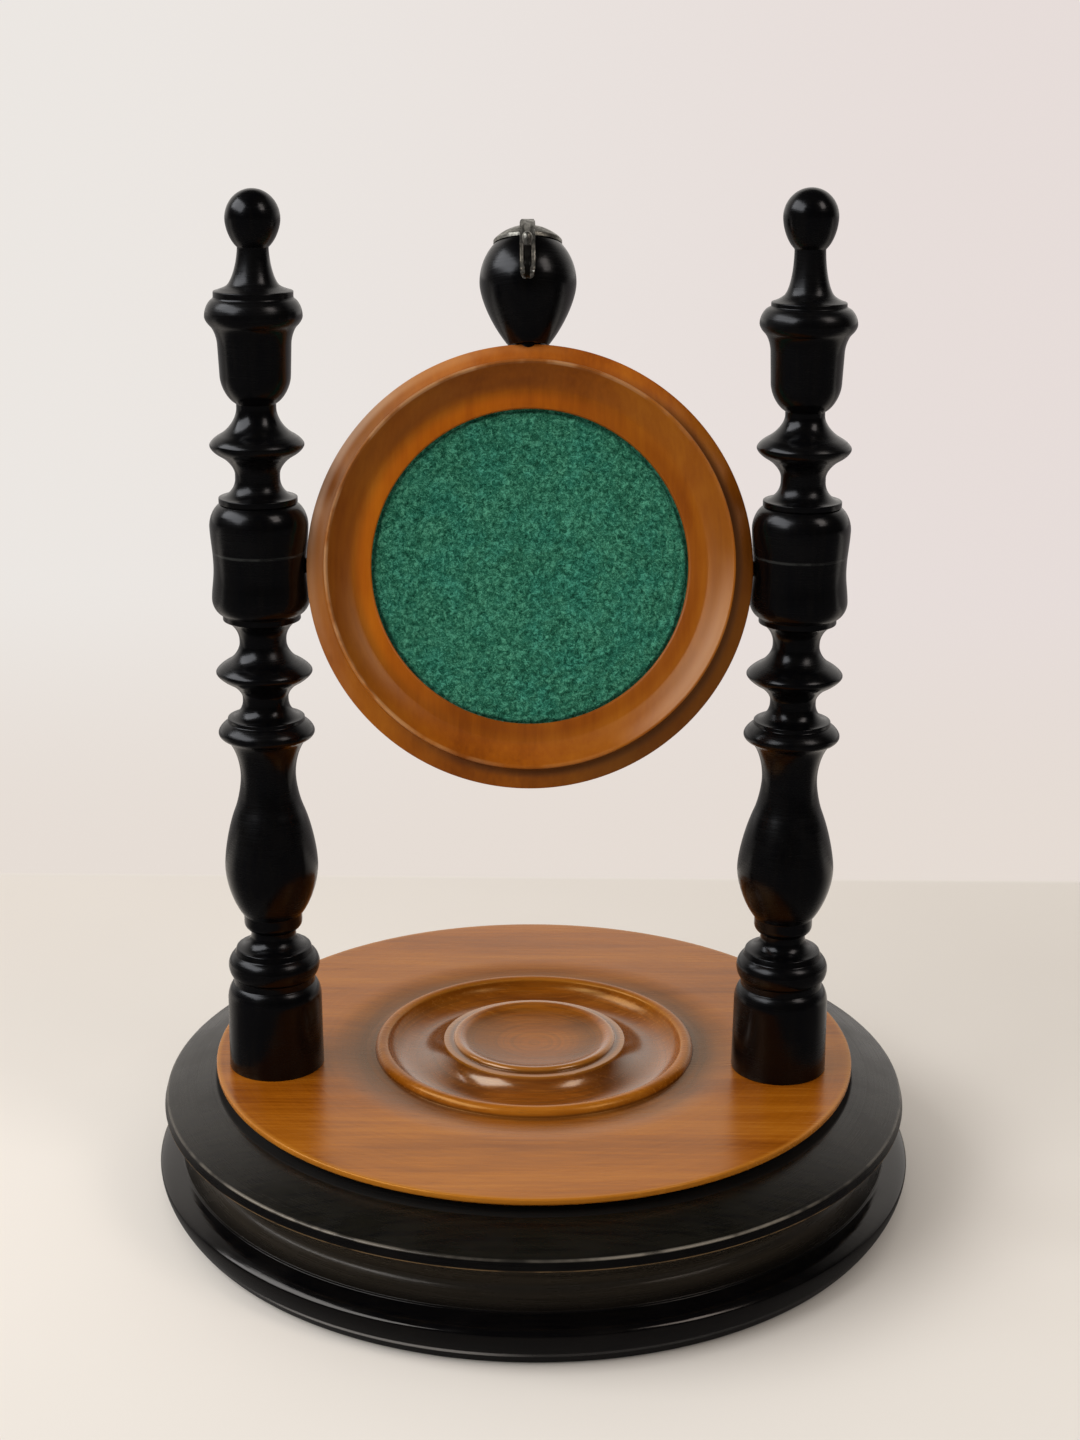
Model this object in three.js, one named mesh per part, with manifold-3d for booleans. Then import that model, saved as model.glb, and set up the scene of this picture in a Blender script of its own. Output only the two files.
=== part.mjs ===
// Pocket watch stand: two turned posts on a round base carry a tilting watch holder.
// Millimetres, +Z up, the viewer looks along +Y. The origin is the centre of the base, on the table.
import * as THREE from 'three';
import { mergeVertices } from 'three/addons/utils/BufferGeometryUtils.js';
import Module from 'manifold-3d';

const wasm = await Module();
wasm.setup();

// Clearances
const glueGap = 0.15; // radial room for glue round a tenon or a driven pin
const turnGap = 0.15; // radial running clearance of the holder on its pins
const seatGap = 0.3; // between pieces that seat on each other inside the tilting holder
const leafGap = 0.15; // between the thin metal pieces and what they are bent over
const drumGap = 0.3; // between the holder's edge and each post's drum
const overcut = 1; // how far a cutting shape runs past the face that it opens

// How finely round shapes are drawn
const baseSides = 44;
const ringSides = 44;
const postSides = 16;
const roseSides = 20;
const smallSides = 12;
const facetLength = 2.6;

// Base plinth, ebonised: a bead foot, a cove and a rim
const plinth = {
  footRadius: 67,
  beadRadius: 70,
  beadHeight: 6.4,
  filletRadius: 65.9,
  filletRise: 1.9,
  filletStep: 0.4,
  coveRadius: 61.7,
  coveDrop: 2.1,
  coveRise: 6.4,
  quirkRadius: 67.5,
  rimRadius: 68.35,
  rimEdge: 1.7,
  quirkStep: 0.25,
  rimCrown: 3.05,
  seatStep: 0.7,
  seatWidth: 0.8,
  seatRadius: 57.6,
  recessDepth: 4.2,
};
const baize = { radius: 62, thickness: 1, lift: 0.1, gap: 0.1 };

// Base disc, polished: bull-nosed edge and turned rings round a small dish
const disc = {
  radius: 59.05,
  edge: 2.1,
  edgeRound: 0.75,
  spigotDepth: 3.7,
};
const rings = {
  hollowOuter: 34.6,
  hollowRadius: 31.2,
  hollowDepth: 0.5,
  outerFoot: 29.7,
  outerCrest: 28.5,
  outerRise: 1.15,
  outerLip: 27.3,
  troughRadius: 22.3,
  troughDepth: 2.4,
  ledgeOuter: 16.9,
  ledgeRise: 1.15,
  dishOuter: 15.2,
  dishCrest: 14.4,
  dishRise: 2,
  dishInner: 13,
  dishStep: 0.5,
};

// Where the pair of posts stands on the disc
const pairCentreX = -1.2;
const pairCentreY = -8.65;

// Post: members from the foot up, with the radius reached and the rise to it
const tenon = { radius: 4, length: 15.7, chamfer: 0.5 };
const pedestal = { radius: 8.45, footRadius: 8.6, height: 13.3, shoulderRise: 3, grooveRadius: 7.3 };
const torus = { footRise: 1.2, radius: 8.2, lowerRise: 2.3, upperRise: 2.2, topRadius: 7 };
const ledge = { radius: 6.65, rise: 1.1, neckRadius: 4, neckDrop: 2.6, neckRise: 0.7 };
const collar = { radius: 5.2, flareRise: 1.5, height: 1.5 };
const vase = {
  bellyRise: 9.2,
  shoulderRadius: 6.1,
  shoulderRise: 10.7,
  neckRadius: 4.85,
  neckRise: 6.3,
  flareRadius: 7.1,
  flareRise: 6.7,
};
const lowBead = { radius: 8.4, lowerRise: 1.3, upperRise: 2, topRadius: 6.7, filletRise: 0.7 };
const lowWaist = { radius: 3.98, drop: 3.1, length: 0.5, flareRise: 2.7 };
const midBead = { mouthRadius: 6.2, radius: 8.35, lowerRise: 1.95, upperRise: 1.95 };
const midWaist = { radius: 4.05, drop: 3.3, length: 0.4, flareRise: 3.65 };
const drum = {
  filletRadius: 6.7,
  filletRise: 1,
  radius: 8.4,
  shoulderRise: 2.8,
  waistRadius: 8.15,
  lowerLength: 5.6,
  upperLength: 7,
  topRise: 4,
  topRadius: 6.3,
};
const upperWaist = { radius: 3.8, drop: 3.2, length: 0.7, flareRise: 3.2 };
const highBead = { mouthRadius: 6.3, radius: 8, lowerRise: 1.8, upperRise: 1.75 };
const highWaist = { radius: 3.35, drop: 4.5, length: 0.7 };
const urn = { bodyRadius: 5.95, bowlRise: 4.7, wallRadius: 6.15, wallRise: 4.9, mouthRadius: 7.3 };
const rim = { flareRise: 3.4, radius: 8.15, lowerRise: 1.5, topRadius: 6.8 };
const cap = { rise: 0.25, slope: 0.9, coneRadius: 4.4 };
const ball = { radius: 4.57, neckRadius: 2.6 };
const pivotRise = 9.45; // from the drum's lower fillet to the pivot

// What differs between the two hand-turned posts
const leftHand = {
  bellyRadius: 8.25,
  urnDrop: 0,
  rimRise: 2.9,
  capRadius: 6.65,
  capEdge: 1,
  coneRise: 6.2,
  ballDrop: 4.6,
  ballRise: 4.83,
};
const rightHand = {
  bellyRadius: 8.55,
  urnDrop: 0.7,
  rimRise: 2.6,
  capRadius: 6.3,
  capEdge: 0.75,
  coneRise: 7.72,
  ballDrop: 5.17,
  ballRise: 4.7,
};

// Holder, measured from the pivot axis: forward of it, and outwards in the ring's own plane
const restTilt = 20; // degrees the holder leans back at rest
const ring = {
  radius: 37.85,
  widest: 2.8,
  back: -3.5,
  backRadius: 36.6,
  quirkRadius: 35.1,
  quirkForward: 4.4,
  arrisRadius: 34.7,
  arrisForward: 5.75,
  coveRadius: 30.6,
  coveForward: 2.85,
  lipRadius: 27,
  lipForward: 2.4,
  lipBack: 1.5,
  boardLand: 2.2,
};
const felt = { thickness: 2.1, overlap: 1.5, swell: 0.3 };
const board = { thickness: 2 };
const pin = { radius: 1.25, inset: 0.4, depth: 5 };

// Finial on the ring's top edge, with its rose and hook
const finial = {
  forward: 1,
  lean: 0.8,
  footRadius: 3.35,
  radius: 8.25,
  swell: 11.05,
  crown: 9.2,
  tenonRadius: 2.2,
  tenonLength: 5,
};
const rose = { radius: 5.95, thickness: 0.5 };
const hook = {
  thickness: 0.8,
  width: 2.6,
  belly: 2.9,
  bellyRise: 2.4,
  point: 0.8,
  shoulderRise: 0.6,
  tail: 7, // degrees that the stem runs past the crown's top
  stemDrop: 10.5,
  throat: 2.4,
  noseWidth: 1.3,
  noseRise: 4.2,
  bulbRadius: 0.85,
  bulbHeight: 2.6,
  windowWidth: 1.2,
  windowLow: 0.6,
  windowHigh: 6.4,
  shankRadius: 0.8,
  shankLength: 7,
};

// Materials
const ebonised = { color: 0x14120f, roughness: 0.38, metalness: 0 };
const polished = { color: 0xa0622a, roughness: 0.3, metalness: 0 };
const greenCloth = { color: 0x1f6b50, roughness: 1, metalness: 0 };
const darkSteel = { color: 0x2b2a29, roughness: 0.45, metalness: 1 };
const whiteMetal = { color: 0x9a978c, roughness: 0.35, metalness: 1 };
const plainBoard = { color: 0x7d5630, roughness: 0.7, metalness: 0 };

// A half outline that is drawn upwards from one station to the next, as a turner works
class Outline {
  constructor(radius, height) {
    this.path = new THREE.Path();
    this.path.moveTo(radius, height);
  }

  get height() {
    return this.path.currentPoint.y;
  }

  line(radius, rise) {
    this.path.lineTo(radius, this.height + rise);
    return this;
  }

  // Angles are in degrees from the axis, outwards positive: the way the curve leaves and arrives.
  curve(radius, rise, leave, arrive) {
    const start = this.path.currentPoint.clone();
    const end = new THREE.Vector2(radius, start.y + rise);
    const out = direction(leave, rise);
    const into = direction(arrive, rise);
    const reach = handleLengths(start, end, out, into);
    const first = start.clone().addScaledVector(out, reach[0]);
    const second = end.clone().addScaledVector(into, -reach[1]);
    this.path.bezierCurveTo(first.x, first.y, second.x, second.y, end.x, end.y);
    return this;
  }

  // Quarter rounds: out to a crest and back in to the radius above it
  bead(crest, lowerRise, leave, top, upperRise, arrive) {
    return this.curve(crest, lowerRise, leave, 0).curve(top, upperRise, 0, arrive);
  }

  points() {
    const list = [];
    for (const curve of this.path.curves) {
      const straight = curve.isLineCurve;
      const wanted = Math.round(curve.getLength() / facetLength);
      const steps = straight ? 1 : THREE.MathUtils.clamp(wanted, 2, 5);
      const stations = curve.getPoints(steps);
      if (list.length > 0) stations.shift();
      list.push(...stations);
    }
    return list;
  }
}

function direction(angle, rise) {
  const turn = THREE.MathUtils.degToRad(angle);
  return new THREE.Vector2(Math.sin(turn), Math.cos(turn) * Math.sign(rise));
}

// Handles that make a quarter ellipse where the two end tangents meet, and an even ogee where they don't
function handleLengths(start, end, out, into) {
  const ellipse = 0.5523;
  const chord = end.clone().sub(start);
  const cross = out.cross(into);
  const evenReach = 0.4 * chord.length();
  if (Math.abs(cross) < 0.05) return [evenReach, evenReach];
  const first = chord.cross(into) / cross;
  const second = chord.cross(out) / -cross;
  if (first <= 0 || second <= 0) return [evenReach, evenReach];
  return [ellipse * first, ellipse * second];
}

// Turned shapes: the outline's height runs along the lathe's axis
function lathe(points, sides) {
  return new THREE.LatheGeometry(points, sides);
}

function upright(geometry) {
  return geometry.rotateX(Math.PI / 2);
}

function facingFront(geometry) {
  return geometry.rotateX(Math.PI);
}

function rod(radius, length, sides) {
  return new THREE.CylinderGeometry(radius, radius, length, sides);
}

// Solids for cutting and joining
function toSolid(geometry) {
  const bare = geometry.clone();
  bare.deleteAttribute('normal');
  bare.deleteAttribute('uv');
  const merged = mergeVertices(bare, 1e-4);
  const mesh = new wasm.Mesh({
    numProp: 3,
    vertProperties: new Float32Array(merged.attributes.position.array),
    triVerts: new Uint32Array(merged.index.array),
  });
  return new wasm.Manifold(mesh);
}

function toGeometry(solid) {
  const mesh = solid.getMesh();
  const geometry = new THREE.BufferGeometry();
  geometry.setAttribute('position', new THREE.BufferAttribute(mesh.vertProperties, 3));
  geometry.setIndex(new THREE.BufferAttribute(mesh.triVerts, 1));
  geometry.computeVertexNormals();
  return geometry;
}

function cutFrom(geometry, cutters) {
  let solid = toSolid(geometry);
  for (const cutter of cutters) solid = solid.subtract(toSolid(cutter));
  return toGeometry(solid);
}

function piece(name, geometry, look) {
  const mesh = new THREE.Mesh(geometry, new THREE.MeshStandardMaterial(look));
  mesh.name = name;
  return mesh;
}

// Plinth heights, from the table up
const filletHeight = plinth.beadHeight + plinth.filletRise;
const coveFoot = filletHeight + plinth.filletStep;
const rimFoot = coveFoot + plinth.coveDrop + plinth.coveRise + plinth.quirkStep;
const rimTop = rimFoot + plinth.rimEdge;
const seatHeight = rimTop + plinth.rimCrown + plinth.seatStep;
const discTop = seatHeight + disc.edge;
const recessRadius = plinth.seatRadius - plinth.seatWidth;
const recessFloor = seatHeight - plinth.recessDepth;
const baizeRecess = baize.lift + baize.thickness + baize.gap;

const postPlaces = [-1, 1].map((side) => side * (ring.radius + drumGap + drum.waistRadius));

function tenonHoles(low, high) {
  return postPlaces.map((x) => {
    const hole = upright(rod(tenon.radius + glueGap, high - low, smallSides));
    return hole.translate(pairCentreX + x, pairCentreY, (low + high) / 2);
  });
}

function plinthGeometry() {
  const outline = new Outline(0, baizeRecess);
  outline.line(baize.radius + baize.gap, 0);
  outline.line(baize.radius + baize.gap, -baizeRecess);
  outline.line(plinth.footRadius, 0);
  outline.curve(plinth.beadRadius, plinth.beadHeight, 45, 0);
  outline.curve(plinth.filletRadius, plinth.filletRise, 0, -78);
  outline.line(plinth.filletRadius, plinth.filletStep);
  outline.curve(plinth.coveRadius, plinth.coveDrop, -90, 0);
  outline.curve(plinth.quirkRadius, plinth.coveRise, 0, 62);
  outline.line(plinth.rimRadius, plinth.quirkStep);
  outline.line(plinth.rimRadius, plinth.rimEdge);
  outline.curve(plinth.seatRadius, plinth.rimCrown, -66, -80);
  outline.line(plinth.seatRadius, plinth.seatStep);
  outline.line(recessRadius, 0);
  outline.line(recessRadius, -plinth.recessDepth);
  outline.line(0, 0);
  const body = upright(lathe(outline.points(), baseSides));
  const socketFloor = discTop - tenon.length - seatGap;
  return cutFrom(body, tenonHoles(socketFloor, recessFloor + overcut));
}

function discGeometry() {
  const spigotRadius = recessRadius - glueGap;
  const flat = disc.edge - 2 * disc.edgeRound;
  const outline = new Outline(0, seatHeight - disc.spigotDepth);
  outline.line(spigotRadius, 0);
  outline.line(spigotRadius, disc.spigotDepth);
  outline.line(disc.radius - disc.edgeRound, 0);
  outline.curve(disc.radius, disc.edgeRound, 90, 0);
  outline.line(disc.radius, flat);
  outline.curve(disc.radius - disc.edgeRound, disc.edgeRound, 0, -90);
  outline.line(rings.hollowOuter, 0);
  outline.curve(rings.hollowRadius, -rings.hollowDepth, -60, -90);
  outline.line(rings.outerFoot, 0);
  outline.curve(rings.outerCrest, rings.outerRise + rings.hollowDepth, 0, -90);
  outline.curve(rings.outerLip, -rings.outerRise / 2, -90, 0);
  outline.curve(rings.troughRadius, -rings.outerRise / 2 - rings.troughDepth, -15, -90);
  outline.curve(rings.ledgeOuter, rings.troughDepth + rings.ledgeRise, -90, -15);
  outline.line(rings.dishOuter, 0);
  outline.curve(rings.dishCrest, rings.dishRise - rings.ledgeRise, 0, -90);
  outline.curve(rings.dishInner, -rings.dishStep, -90, -60);
  outline.curve(0, rings.dishStep - rings.dishRise, -65, -90);
  const body = upright(lathe(outline.points(), baseSides));
  return cutFrom(body, tenonHoles(recessFloor, discTop + overcut));
}

function baizeGeometry() {
  const sheet = upright(rod(baize.radius, baize.thickness, baseSides));
  return sheet.translate(0, 0, baize.lift + baize.thickness / 2);
}

// The post's outline from its tenon to its ball, with its foot at height 0
function postOutline(hand) {
  const outline = new Outline(0, -tenon.length);
  outline.line(tenon.radius - tenon.chamfer, 0);
  outline.line(tenon.radius, tenon.chamfer);
  outline.line(tenon.radius, tenon.length - tenon.chamfer);
  outline.line(pedestal.footRadius, 0);
  outline.line(pedestal.radius, pedestal.height);
  outline.curve(pedestal.grooveRadius, pedestal.shoulderRise, 0, -55);
  outline.line(pedestal.grooveRadius, torus.footRise);
  outline.bead(torus.radius, torus.lowerRise, 60, torus.topRadius, torus.upperRise, -60);
  outline.line(ledge.radius, ledge.rise);
  outline.curve(ledge.neckRadius, ledge.neckDrop, -85, 0);
  outline.line(ledge.neckRadius, ledge.neckRise);
  outline.curve(collar.radius, collar.flareRise, 75, 0);
  outline.line(collar.radius, collar.height);
  outline.curve(hand.bellyRadius, vase.bellyRise, 40, 0);
  outline.curve(vase.shoulderRadius, vase.shoulderRise, 0, -22);
  outline.curve(vase.neckRadius, vase.neckRise, -22, 0);
  outline.curve(vase.flareRadius, vase.flareRise, 0, 52);
  const low = lowBead;
  outline.bead(low.radius, low.lowerRise, 75, low.topRadius, low.upperRise, -62);
  outline.line(low.topRadius, low.filletRise);
  outline.curve(lowWaist.radius, lowWaist.drop, -88, 0);
  outline.line(lowWaist.radius, lowWaist.length);
  outline.curve(midBead.mouthRadius, lowWaist.flareRise, 0, 62);
  const mid = midBead;
  outline.bead(mid.radius, mid.lowerRise, 62, mid.mouthRadius, mid.upperRise, -62);
  outline.curve(midWaist.radius, midWaist.drop, -62, 0);
  outline.line(midWaist.radius, midWaist.length);
  outline.curve(drum.filletRadius, midWaist.flareRise, 0, 75);
  const pivotHeight = outline.height + pivotRise;
  outline.line(drum.filletRadius, drum.filletRise);
  outline.curve(drum.radius, drum.shoulderRise, 72, 0);
  outline.curve(drum.waistRadius, drum.lowerLength, -2, 0);
  outline.curve(drum.radius, drum.upperLength, 0, 2);
  outline.curve(drum.topRadius, drum.topRise, 0, -68);
  outline.line(drum.filletRadius, 0);
  outline.line(drum.filletRadius, drum.filletRise);
  outline.curve(upperWaist.radius, upperWaist.drop, -88, 0);
  outline.line(upperWaist.radius, upperWaist.length);
  outline.curve(highBead.mouthRadius, upperWaist.flareRise, 0, 62);
  const high = highBead;
  outline.bead(high.radius, high.lowerRise, 62, high.mouthRadius, high.upperRise, -62);
  outline.curve(highWaist.radius, highWaist.drop - hand.urnDrop, -62, 0);
  outline.line(highWaist.radius, highWaist.length);
  outline.curve(urn.bodyRadius, urn.bowlRise, 62, 2);
  outline.line(urn.wallRadius, urn.wallRise);
  outline.curve(urn.mouthRadius, rim.flareRise, 0, 48);
  outline.bead(rim.radius, rim.lowerRise, 48, rim.topRadius, hand.rimRise, -62);
  outline.line(hand.capRadius, cap.rise);
  outline.line(hand.capRadius, hand.capEdge);
  outline.line(cap.coneRadius, cap.slope);
  outline.curve(ball.neckRadius, hand.coneRise, -50, -3);
  outline.bead(ball.radius, hand.ballDrop, 50, 0, hand.ballRise, -90);
  return { outline, pivotHeight };
}

const pivotHeight = discTop + postOutline(leftHand).pivotHeight;

function postGeometry(hand) {
  const { outline } = postOutline(hand);
  const body = upright(lathe(outline.points(), postSides));
  const bore = rod(pin.radius + glueGap, 4 * drum.radius, smallSides).rotateZ(Math.PI / 2);
  return cutFrom(body, [bore.translate(0, 0, pivotHeight - discTop)]);
}

// Pivot pins run from each drum's outer side into the ring's edge
const pinOuter = ring.radius + drumGap + 2 * drum.waistRadius - pin.inset;
const pinInner = ring.radius - pin.depth + seatGap;

function pinGeometry(side) {
  const shaft = rod(pin.radius, pinOuter - pinInner, smallSides).rotateZ(Math.PI / 2);
  return shaft.translate((side * (pinOuter + pinInner)) / 2, 0, 0);
}

// Holder pieces, in the holder's own frame: X along the pivot, Z up the ring, -Y forward
const feltFront = ring.lipBack - seatGap;
const feltRadius = ring.lipRadius + felt.overlap;
const boardFront = feltFront - felt.thickness - seatGap;
const boardRadius = feltRadius + ring.boardLand;

function ringGeometry() {
  const outline = new Outline(boardRadius + seatGap, ring.back);
  const flankRise = ring.widest - ring.back;
  outline.line(ring.backRadius, 0);
  outline.curve(ring.radius, flankRise, 25, 0);
  outline.curve(ring.quirkRadius, ring.quirkForward - ring.widest, 0, -62);
  outline.line(ring.arrisRadius, ring.arrisForward - ring.quirkForward);
  outline.curve(ring.coveRadius, ring.coveForward - ring.arrisForward, -30, -84);
  outline.curve(ring.lipRadius, ring.lipForward - ring.coveForward, -86, -20);
  outline.line(ring.lipRadius, ring.lipBack - ring.lipForward);
  outline.line(feltRadius + seatGap, 0);
  outline.line(feltRadius + seatGap, boardFront + seatGap - ring.lipBack);
  outline.line(boardRadius + seatGap, 0);
  outline.line(boardRadius + seatGap, ring.back - boardFront - seatGap);
  const body = facingFront(lathe(outline.points(), ringSides));
  const boreLength = 2 * pin.depth;
  const bores = [-1, 1].map((side) => {
    const bore = rod(pin.radius + turnGap, boreLength, smallSides).rotateZ(Math.PI / 2);
    return bore.translate(side * ring.radius, 0, 0);
  });
  const socketLength = 2 * (finial.tenonLength + seatGap);
  const socket = upright(rod(finial.tenonRadius + glueGap, socketLength, smallSides));
  socket.translate(0, -finial.forward, ring.radius);
  leanFinial(socket);
  return cutFrom(body, [...bores, socket]);
}

// The lip holds the pad's rim down, and the rest swells a little into the opening
function feltGeometry() {
  const outline = new Outline(0, feltFront - felt.thickness);
  outline.line(feltRadius, 0);
  outline.line(feltRadius, felt.thickness);
  outline.line(ring.lipRadius - seatGap, 0);
  outline.line(ring.lipRadius - seatGap, felt.swell);
  outline.line(0, 0);
  return facingFront(lathe(outline.points(), ringSides));
}

function boardGeometry() {
  const plate = rod(boardRadius, board.thickness, ringSides);
  return plate.translate(0, board.thickness / 2 - boardFront, 0);
}

// The finial's socket is bored a little off the vertical, so the finial leans with it
function leanFinial(geometry) {
  return geometry.rotateY(THREE.MathUtils.degToRad(-finial.lean));
}

const finialFoot = ring.radius + seatGap;
const finialWaist = finialFoot + finial.swell;

function atFinial(geometry) {
  return leanFinial(upright(geometry).translate(0, -finial.forward, 0));
}

function finialGeometry() {
  const outline = new Outline(0, ring.radius - finial.tenonLength);
  outline.line(finial.tenonRadius, 0);
  outline.line(finial.tenonRadius, finial.tenonLength + seatGap);
  outline.line(finial.footRadius, 0);
  outline.curve(finial.radius, finial.swell, 40, 0);
  outline.curve(0, finial.crown, 0, -90);
  const bore = rod(hook.shankRadius + leafGap, 2 * hook.shankLength, smallSides);
  const body = lathe(outline.points(), postSides);
  const crownTop = finialWaist + finial.crown;
  return atFinial(cutFrom(body, [bore.translate(0, crownTop, 0)]));
}

// A shell over the finial's crown at a given height above it: radius and height at an angle from the top
function overCrown(lift, angle) {
  const radius = (finial.radius + lift) * Math.sin(angle);
  const height = finialWaist + (finial.crown + lift) * Math.cos(angle);
  return new THREE.Vector2(radius, height);
}

function roseGeometry() {
  const steps = 4;
  const hole = hook.shankRadius + leafGap;
  const under = leafGap;
  const over = leafGap + rose.thickness;
  const surface = (lift) => {
    const first = Math.asin(hole / (finial.radius + lift));
    const last = Math.asin(rose.radius / (finial.radius + lift));
    const stations = [];
    for (let i = 0; i <= steps; i += 1) {
      stations.push(overCrown(lift, THREE.MathUtils.lerp(first, last, i / steps)));
    }
    return stations;
  };
  const profile = [...surface(under), ...surface(over).reverse()];
  profile.push(profile[0].clone());
  return atFinial(lathe(profile, roseSides));
}

// Hook: a leaf-shaped stem bent over the crown, a bend, and a nose with a drop-shaped end
function hookGeometry() {
  const half = hook.thickness / 2;
  const lift = 2 * leafGap + rose.thickness + half;
  const stemForward = finial.radius + lift;
  const stemTop = finialWaist + finial.crown + lift;
  const bendHeight = stemTop - hook.stemDrop;
  const bendRadius = (hook.throat + hook.thickness) / 2;
  const bendForward = stemForward + bendRadius;
  const noseTop = bendHeight + hook.noseRise;

  const stemOutline = new THREE.Shape();
  const outer = [stemForward + half, finial.crown + lift + half];
  const inner = [stemForward - half, finial.crown + lift - half];
  const back = Math.PI / 2 + THREE.MathUtils.degToRad(hook.tail);
  stemOutline.absellipse(0, finialWaist, outer[0], outer[1], 0, back, false);
  stemOutline.absellipse(0, finialWaist, inner[0], inner[1], back, 0, true);
  stemOutline.lineTo(inner[0], bendHeight);
  const reach = bendRadius;
  stemOutline.absarc(bendForward, bendHeight, reach + half, Math.PI, Math.PI * 1.5, false);
  stemOutline.absarc(bendForward, bendHeight, reach - half, Math.PI * 1.5, Math.PI, true);

  const noseOutline = new THREE.Shape();
  noseOutline.absarc(bendForward, bendHeight, reach + half, Math.PI * 1.45, Math.PI * 2, false);
  noseOutline.lineTo(bendForward + reach + half, noseTop);
  noseOutline.lineTo(bendForward + reach - half, noseTop);
  noseOutline.absarc(bendForward, bendHeight, reach - half, Math.PI * 2, Math.PI * 1.45, true);

  const widest = Math.max(hook.width, hook.belly);
  const stem = toSolid(slab(stemOutline, widest));
  const nose = toSolid(slab(noseOutline, hook.noseWidth));
  const shank = rod(hook.shankRadius, hook.shankLength, smallSides);
  shank.translate(0, stemTop - hook.shankLength / 2, 0);

  const bulb = new THREE.SphereGeometry(1, 10, 8);
  bulb.scale(hook.bulbRadius, hook.bulbHeight / 2, hook.bulbRadius);
  bulb.translate(0, noseTop, bendForward + reach);

  const leaf = toSolid(leafBlock(stemTop + hook.thickness, bendHeight - reach - half));
  const windowBlock = new THREE.BoxGeometry(hook.windowWidth, hook.windowHigh - hook.windowLow, 4 * half);
  windowBlock.translate(0, bendHeight + (hook.windowHigh + hook.windowLow) / 2, stemForward);
  const frame = stem.intersect(leaf).subtract(toSolid(windowBlock));
  const whole = frame.add(nose).add(toSolid(bulb)).add(toSolid(shank));
  return atFinial(toGeometry(whole));
}

// A flat outline in the forward and upward directions, given a width across the hook
function slab(outline, width) {
  const body = new THREE.ExtrudeGeometry(outline, { depth: width, bevelEnabled: false, curveSegments: 8 });
  return body.translate(0, 0, -width / 2).rotateY(-Math.PI / 2);
}

// The stem's front outline, wide low down and drawn to a blunt point at the bend
function leafBlock(top, bottom) {
  const bellyHeight = bottom + hook.bellyRise;
  const shoulder = bottom + hook.shoulderRise;
  const foot = bottom - overcut / 10;
  const leaf = new THREE.Shape();
  leaf.moveTo(-hook.point / 2, foot);
  leaf.lineTo(hook.point / 2, foot);
  leaf.quadraticCurveTo(hook.belly / 2, shoulder, hook.belly / 2, bellyHeight);
  leaf.lineTo(hook.width / 2, top);
  leaf.lineTo(-hook.width / 2, top);
  leaf.lineTo(-hook.belly / 2, bellyHeight);
  leaf.quadraticCurveTo(-hook.belly / 2, shoulder, -hook.point / 2, foot);
  const depth = 6 * finial.radius;
  const body = new THREE.ExtrudeGeometry(leaf, { depth, bevelEnabled: false, curveSegments: 4 });
  return body.translate(0, 0, -depth / 2);
}

// Assembly
const stand = new THREE.Group();
stand.add(piece('base_plinth', plinthGeometry(), ebonised));
stand.add(piece('base_baize', baizeGeometry(), greenCloth));
stand.add(piece('base_top', discGeometry(), polished));

const hands = { left: leftHand, right: rightHand };
for (const [side, name] of [[-1, 'left'], [1, 'right']]) {
  const post = piece(`${name}_post`, postGeometry(hands[name]), ebonised);
  post.position.set(pairCentreX + postPlaces[(side + 1) / 2], pairCentreY, discTop);
  const pivotPin = piece(`${name}_pivot_pin`, pinGeometry(side), darkSteel);
  pivotPin.position.set(pairCentreX, pairCentreY, pivotHeight);
  stand.add(post, pivotPin);
}

const holder = new THREE.Group();
holder.position.set(pairCentreX, pairCentreY, pivotHeight);
holder.rotation.x = THREE.MathUtils.degToRad(-restTilt);
holder.add(piece('holder_ring', ringGeometry(), polished));
holder.add(piece('felt_pad', feltGeometry(), greenCloth));
holder.add(piece('holder_back', boardGeometry(), plainBoard));
holder.add(piece('holder_finial', finialGeometry(), ebonised));
holder.add(piece('hook_rose', roseGeometry(), whiteMetal));
holder.add(piece('watch_hook', hookGeometry(), whiteMetal));

const watchStand = new THREE.Group();
watchStand.add(stand, holder);

export default watchStand;
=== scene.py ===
import math

import bpy
import numpy as np
from mathutils import Matrix, Vector, noise


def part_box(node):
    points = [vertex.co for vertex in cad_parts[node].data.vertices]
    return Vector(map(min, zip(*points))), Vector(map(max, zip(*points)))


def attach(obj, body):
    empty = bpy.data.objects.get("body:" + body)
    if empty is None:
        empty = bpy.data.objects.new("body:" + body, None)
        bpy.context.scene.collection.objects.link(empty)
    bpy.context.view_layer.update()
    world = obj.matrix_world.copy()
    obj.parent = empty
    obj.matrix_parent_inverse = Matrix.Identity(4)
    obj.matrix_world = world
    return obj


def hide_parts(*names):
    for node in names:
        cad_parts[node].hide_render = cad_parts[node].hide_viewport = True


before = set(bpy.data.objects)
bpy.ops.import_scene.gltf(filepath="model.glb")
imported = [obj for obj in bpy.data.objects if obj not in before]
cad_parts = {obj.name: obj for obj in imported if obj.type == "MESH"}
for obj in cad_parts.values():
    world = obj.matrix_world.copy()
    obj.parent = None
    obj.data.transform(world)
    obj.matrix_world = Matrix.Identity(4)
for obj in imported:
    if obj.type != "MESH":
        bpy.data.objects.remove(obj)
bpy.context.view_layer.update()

MM = 0.001
TINY = 1e-6

# Where things are, as in the model's frame
PAIR_X = -1.2
PAIR_Y = -8.65
DISC_TOP = 25.0
PIVOT_Z = 118.3
POST_REACH = 46.3
PIN_BORE = 1.4
REST_TILT = 20.0
FINIAL_LEAN = 0.8
HALF_TURN = math.pi
QUARTER_TURN = math.radians(90)

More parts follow.
